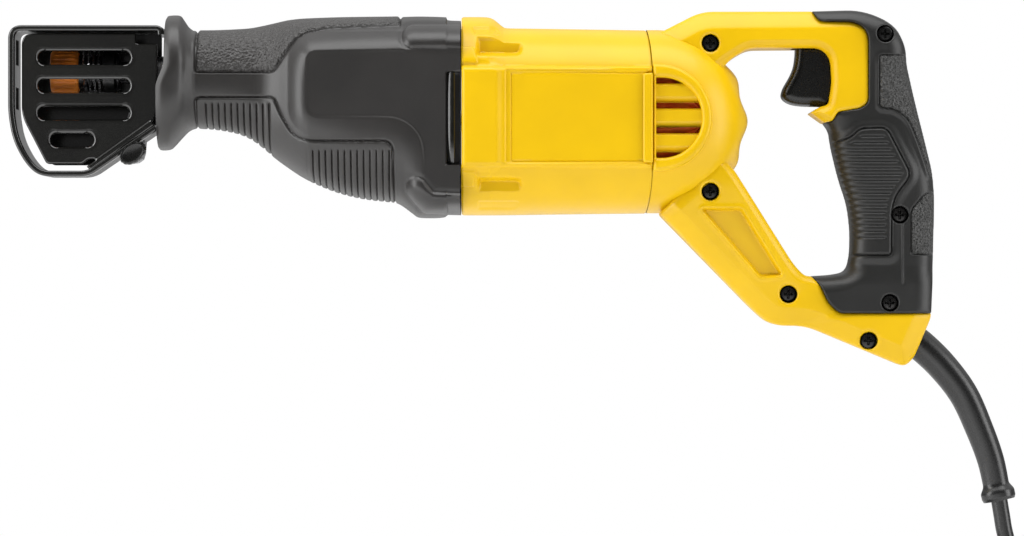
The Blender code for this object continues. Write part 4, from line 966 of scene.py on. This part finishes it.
GUARD_RAIL = rounded((
    (-386.8, 11, 0.5), (-355.8, 33.1, 0.5), (-353.6, 31.1, 0.5), (-384.9, 9.1, 0.5),
))
GUARD_HOLES = (  # left, right, top and bottom of each viewing slot
    (-410.2, -365.8, 66.6, 60.1), (-410.2, -366, 53.1, 46.7),
    (-410.2, -366, 39.8, 33.6), (-404.2, -383.4, 27.1, 20.5),
)
GUARD_FACE = 19.0


def spaced(line, gap):
    """The same line with a point at least every gap."""
    points = [line[0]]
    for a, b in zip(line, line[1:]):
        parts = max(1, int(np.ceil(np.hypot(*(b - a)) / gap)))
        points += [a + (b - a) * (k + 1) / parts for k in range(parts)]
    return np.array(points)


def make_shoe_strap():
    line = spaced(STRAP_LINE, 1.6)
    ahead = directions(line)
    out = np.stack([ahead[:, 1], -ahead[:, 0]], -1)
    across = [(-STRAP_HALF, 0.5), (-STRAP_HALF + 0.12, 0.9), (-STRAP_HALF + 0.5, 1.28),
              (-STRAP_HALF + 1, STRAP_THICK / 2)]
    across += [(y, STRAP_THICK / 2) for y in (-13, -8, 8, 13)]
    across += [(-y, half) for y, half in reversed(across[:4])]
    ys, halves = np.array(across).T
    sheets = []
    for way in (1, -1):
        rows = np.zeros((len(line), len(ys), 3))
        rows[..., 0] = line[:, :1] - way * out[:, :1] * halves
        rows[..., 1] = ys
        rows[..., 2] = line[:, 1:] - way * out[:, 1:] * halves
        sheets.append(rows)
    left, right = 5, 6
    spans = []
    for low, high in BLADE_SLOTS:
        in_slot = (line[:, 0] < -420) & (line[:, 1] > low) & (line[:, 1] < high)
        spans.append(tuple(int(i) for i in np.flatnonzero(in_slot)[[0, -1]]))
    open_rows = {i for first, last in spans for i in range(first, last)}
    build = Build()
    wide = len(ys)
    for rows, flip in zip(sheets, (True, False)):
        faces = []
        for i in range(len(line) - 1):
            for j in range(wide - 1):
                if i in open_rows and j == left:
                    continue
                face = (i * wide + j, i * wide + j + 1, (i + 1) * wide + j + 1, (i + 1) * wide + j)
                faces.append(face[::-1] if flip else face)
        build.add(rows, faces)
    top, under = sheets
    whole = slice(None)
    walls = [((whole, 0), False), ((whole, -1), True), ((0, whole), True), ((-1, whole), False)]
    for first, last in spans:
        run, gap = slice(first, last + 1), slice(left, right + 1)
        walls += [((run, left), True), ((run, right), False), ((first, gap), False), ((last, gap), True)]
    for where, flip in walls:
        build.sheet(np.stack([top[where], under[where]], 1), flip=flip)
    for side in (NEAR, FAR):
        low, high = sorted((side * (STRAP_HALF - 0.2), side * (STRAP_HALF - 6.5)))
        build.turned([(SHOE_PIVOT[0], y, SHOE_PIVOT[1]) for y in (low, low + 0.4, high - 0.4, high)],
                     (4, 4.4, 4.4, 4), 40)
    build.piece("shoe_strap_bent", "shoe", "black_steel", ("shoe_strap",))


def slot_away(hole, x, z):
    """How far points are from a flat hole with round ends."""
    left, right, top, bottom = hole
    radius, middle = (top - bottom) / 2, (top + bottom) / 2
    across = np.maximum(np.maximum(left + radius - x, x - right + radius), 0)
    return np.hypot(across, z - middle) - radius


def guard_region(x, z):
    whole = np.minimum(away(GUARD, x, z), away(GUARD_RAIL, x, z))
    for hole in GUARD_HOLES:
        whole = np.maximum(whole, -slot_away(hole, x, z))
    return whole


def guard_height(x, z, depth):
    face = np.full(np.shape(x), GUARD_FACE)
    for hole in GUARD_HOLES:
        gap = slot_away(hole, x, z)
        middle, half = (hole[0] + hole[1]) / 2, (hole[1] - hole[0]) / 2
        lip = 0.5 + 0.8 * step(abs(x - middle), half - 4.5, half - 0.5)
        face -= 0.16 * step(gap, lip + 1.7, lip) + 1.2 * crown(np.maximum(gap, 0), lip, 1.6)
    face += 0.7 * step(-away(GUARD_RAIL, x, z), -0.5, 0.3)
    edge = -np.minimum(away(GUARD, x, z), away(GUARD_RAIL, x, z))
    return face - 0.8 * crown(edge, 0.8, 2)


def make_guards():
    box = (-423, -350, 8, 78)
    build = Build()
    relief(build, guard_region, box, guard_height, (0.42, 0.42), NEAR, back=17, sheet=True)
    build.piece("shoe_guard_slotted", "shoe", "black_steel", ("shoe_guard_left",))
    build = Build()
    relief(build, partial(away, PLAIN_GUARD), box, edged(GUARD_FACE, 0.8, 0.8, 2), (0.8, 0.8), FAR, back=17,
           sheet=True)
    build.piece("shoe_guard_plain", "shoe", "black_steel", ("shoe_guard_right",))


def make_knob():
    build = Build()
    tilt = math.radians(36)
    centre = np.array((-364.2, 17.4))
    turn = full_turn(120)
    stations = ((-20.1, 0.93, 0), (-20.4, 1, 0.3), (-21.2, 1, 1), (-23, 1, 1), (-23.9, 0.97, 0.8),
                (-24.4, 0.9, 0.2), (-24.5, 0.8, 0), (-24.1, 0.66, 0), (-24, 0, 0))
    rows = []
    for y, share, notch in stations:
        size = share * (1 - 0.05 * notch * (np.cos(14 * turn) < -0.3))
        u, v = 7.1 * size * np.cos(turn), 4.7 * size * np.sin(turn)
        rows.append(np.stack([centre[0] + u * math.cos(tilt) - v * math.sin(tilt), np.full(120, y),
                              centre[1] + u * math.sin(tilt) + v * math.cos(tilt)], -1))
    build.sheet(rows, closed=True)
    build.piece("shoe_knob_ribbed", "shoe", "black_plastic", ("shoe_pivot_knob",), angle=30)


# ---- blade clamp
def make_clamp():
    build = Build()
    stations = ((-405, 3.2), (-405, 6.6), (-404.2, 7.4), (-403.6, 7.6), (-392, 7.6), (-391.8, 8.2),
                (-390.6, 8.2), (-390.4, 7.7), (-380.6, 7.7), (-380.2, 9.4), (-379.7, 10.1), (-374.2, 10.1),
                (-373.6, 9.6), (-373.2, 8.8), (-372.2, 8.8), (-372, 8.4), (-372, 5.4), (-376.6, 5.4),
                (-376.6, 3.2))
    build.turned([(x, 0, PLUNGER_Z) for x, r in stations], [r for x, r in stations], 64, caps=False)
    build.piece("clamp_body_turned", "plunger", "dark_steel", ("clamp_body",))
    build = Build()
    turn = full_turn(144)
    stations = ((-405, 8.5, 0), (-405.2, 9.3, 0), (-404.7, 9.9, 0), (-403.4, 10.3, 0.3), (-402.8, 10.45, 1),
                (-394, 10.45, 1), (-393.2, 10.3, 0.3), (-392, 9.9, 0), (-391.6, 9.4, 0), (-391.5, 8.5, 0))
    rows = []
    for x, radius, rib in stations:
        size = radius - 0.5 * rib * (np.cos(24 * turn) > 0.4)
        rows.append(np.stack([np.full(144, x), size * np.cos(turn), PLUNGER_Z + size * np.sin(turn)], -1))
    build.sheet(rows, closed=True)
    relief(build, lambda x, z: np.maximum(abs(x + 397.2) - 4, abs(z - PLUNGER_Z) - 2.8),
           (-403, -391, PLUNGER_Z - 4, PLUNGER_Z + 4), edged(14.3, 1, 1.2, 2), (0.4, 0.4), NEAR,
           back=9.6)
    build.piece("clamp_collar_ribbed", "clamp_collar", "orange_clamp", ("clamp_collar",))


# ---- screws, sleeve, plug and tie
SCREW_HEAD_R = 3.75
# radius of the black tube that paints the shade inside each screw hole
SHADE_TUBE_R = 4
SCREW_BACK = 8.3  # how far from the middle plane the heads' backs are


def make_screw(number, place, surface):
    """A cross-head screw at the bottom of its hole, whose wall is a black tube up to the handle's surface:
    painted shade.
    """
    cx, cz = place
    inside = 9.0  # far enough from an outline for its edge to have no effect
    face = float(surface(np.array(cx), np.array(cz), inside)) - 2.6

    def head(x, z, depth):
        u, v = abs(x - cx), abs(z - cz)
        arm = np.minimum(np.maximum(u - 0.48, v - 2.1), np.maximum(v - 0.48, u - 2.1))
        dome = face - 0.5 * (np.hypot(u, v) / SCREW_HEAD_R) ** 2
        return dome - 1.7 * step(-arm, -0.1, 0.3) - 0.6 * crown(depth, 0.6, 2)

    build = Build()
    relief(build, lambda x, z: np.hypot(x - cx, z - cz) - SCREW_HEAD_R,
           (cx - 4, cx + 4, cz - 4, cz + 4), head, (0.16, 0.16), NEAR, back=SCREW_BACK)
    build.turned([(cx, y, cz) for y in (-8.4, 10.2)], 1.7, 20)
    # The hole's wall is a black tube from just under the surface down to the head: painted shade for the
    # deep hole, not a real part.
    turn = full_turn(40)
    x, z = cx + SHADE_TUBE_R * np.cos(turn), cz + SHADE_TUBE_R * np.sin(turn)
    rim = surface(x, z, inside) - 0.45
    floor = SCREW_BACK - 0.1
    build.sheet([np.stack([x, -(rim + (floor - rim) * share), z], -1) for share in (0, 0.3, 0.6, 1)],
                closed=True, paint=1)
    build.piece(f"handle_screw_crosshead_{number}", "housing", "dark_steel", (f"handle_screw_{number}",),
                ("screw_black", "black_plastic"))


SLEEVE_LINE = ((6, 0, -68.5), (15.7, 0, -75.2), (26.6, 0, -85.7), (36.8, 0, -99.3), (44.4, 0, -116.1),
               (49.7, 0, -130.7), (52.6, 0, -143.9), (53.9, 0, -150.2))


def make_sleeve():
    line = through(SLEEVE_LINE, 100)
    run = np.concatenate([[0], np.cumsum(np.linalg.norm(np.diff(line, axis=0), axis=1))])
    left = run[-1] - run
    radii = 7.8 - 1.6 * run / run[-1]
    radii += 2 * step(left, 8.2, 3.6) - 0.5 * step(left, 1.6, 0)
    rows = np.array([point + r * circle(way, 48) for point, way, r in zip(line, directions(line), radii)])
    close = (0.75, 0)
    ends = [line[-1] + (rows[-1] - line[-1]) * share for share in close]
    starts = [line[0] + (rows[0] - line[0]) * share for share in reversed(close)]
    build = Build()
    build.sheet(np.concatenate([starts, rows, ends]), closed=True)
    build.piece("cord_sleeve_moulded", "housing", "cord_rubber", ("cord_sleeve",))


PLUG_AXIS = (80.5, -22)
PLUG_STATIONS = (  # height, half width and half depth of the plug's sections
    (-302.3, 4.3, 4.3), (-302.5, 5.4, 5.4), (-303.3, 6, 6), (-305.4, 6.2, 6.2), (-305.8, 5.3, 5.3),
    (-308, 5.4, 5.4), (-308.4, 6.6, 6.6), (-311.4, 6.9, 6.9), (-311.8, 5.9, 5.9), (-314, 6, 6),
    (-314.4, 7.3, 7.3), (-317.6, 7.7, 7.7), (-318, 6.6, 6.6), (-320.2, 6.8, 6.8), (-320.6, 8, 8),
    (-326, 8.6, 8.6), (-330, 10.4, 10), (-334, 14, 12.6), (-338, 16.6, 14.6),
    (-344, 18, 16.2), (-350, 18.2, 16.8), (-354, 18.6, 17.6), (-355.4, 18.7, 18.2),
    (-358.6, 18.7, 18.4), (-359.8, 18, 17.8), (-360.2, 16.8, 16.6), (-360.2, 0, 0),
)


def make_plug():
    turn = full_turn(72)
    rows = []
    for z, wide, deep in PLUG_STATIONS:
        power = 2 / (2 + 0.7 * float(step(z, -326, -344)))
        rows.append(np.stack([PLUG_AXIS[0] + wide * squarish(np.cos(turn), power),
                              PLUG_AXIS[1] + deep * squarish(np.sin(turn), power), np.full(72, z)], -1))
    build = Build()
    build.sheet(rows, closed=True, flip=True)
    pin = ((-359, 2.9), (-361, 2.9), (-361.2, 2.4), (-376.4, 2.4), (-378.2, 1.9), (-379, 1))
    for across in (-9.5, 9.5):
        line = [(PLUG_AXIS[0] + across, PLUG_AXIS[1], z) for z, r in pin]
        build.turned(line, [r for z, r in pin], 28, paint=1)
    return build.piece("mains_plug", "housing", "cord_rubber", ("plug_body",), ("cord_rubber", "steel"))


def make_tie():
    """A closed band round all the turns of the coil, at one place of it."""
    out = np.array((math.cos(math.radians(100)), math.sin(math.radians(100))))
    turn = full_turn(72)
    power = 2 / 3.2
    half_deep, half_wide = 15.9, 17.4
    stations = ((-3.5, 0.55), (-3.3, 1), (-2.4, 1.25), (2.4, 1.25), (3.3, 1), (3.5, 0.55), (3.5, 0),
                (-3.5, 0), (-3.5, 0.55))
    rows = []
    for along, thick in stations:
        r = COIL_MIDDLE + (half_deep + thick) * squarish(np.cos(turn), power)
        rows.append(np.stack([COIL_CENTRE[0] + out[0] * r - out[1] * along,
                              (half_wide + thick) * squarish(np.sin(turn), power),
                              COIL_CENTRE[1] + out[1] * r + out[0] * along], -1))
    build = Build()
    build.sheet(rows, closed=True)
    return build.piece("coil_tie_band", "housing", "black_plastic", ("cord_tie",))


make_camera()
make_studio()
cord = make_cord()
tie, plug = make_tie(), make_plug()
make_shoe_strap()
make_guards()
make_knob()
make_clamp()
make_boot()
make_gear_case_plate()
make_field_case()
for side, word in ((NEAR, "left"), (FAR, "right")):
    make_handle_shell(side, word)
    make_grip(side, word)
make_trigger()
make_sleeve()
yellow = [(spot, bar_height) for spot in YELLOW_SCREWS]
black = [(spot, grip_height) for spot in GRIP_SCREWS]
for number, (spot, height) in enumerate(yellow + black, 1):
    make_screw(number, spot, height)
for cad_name, cad_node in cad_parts.items():
    slot_name = cad_node.data.materials[0].name.split(".")[0]
    if cad_name == "shoe_pivot_pin":
        slot_name = "black_steel"
    cad_node.data.materials[0] = FINISHES.get(slot_name, FINISHES["steel"])
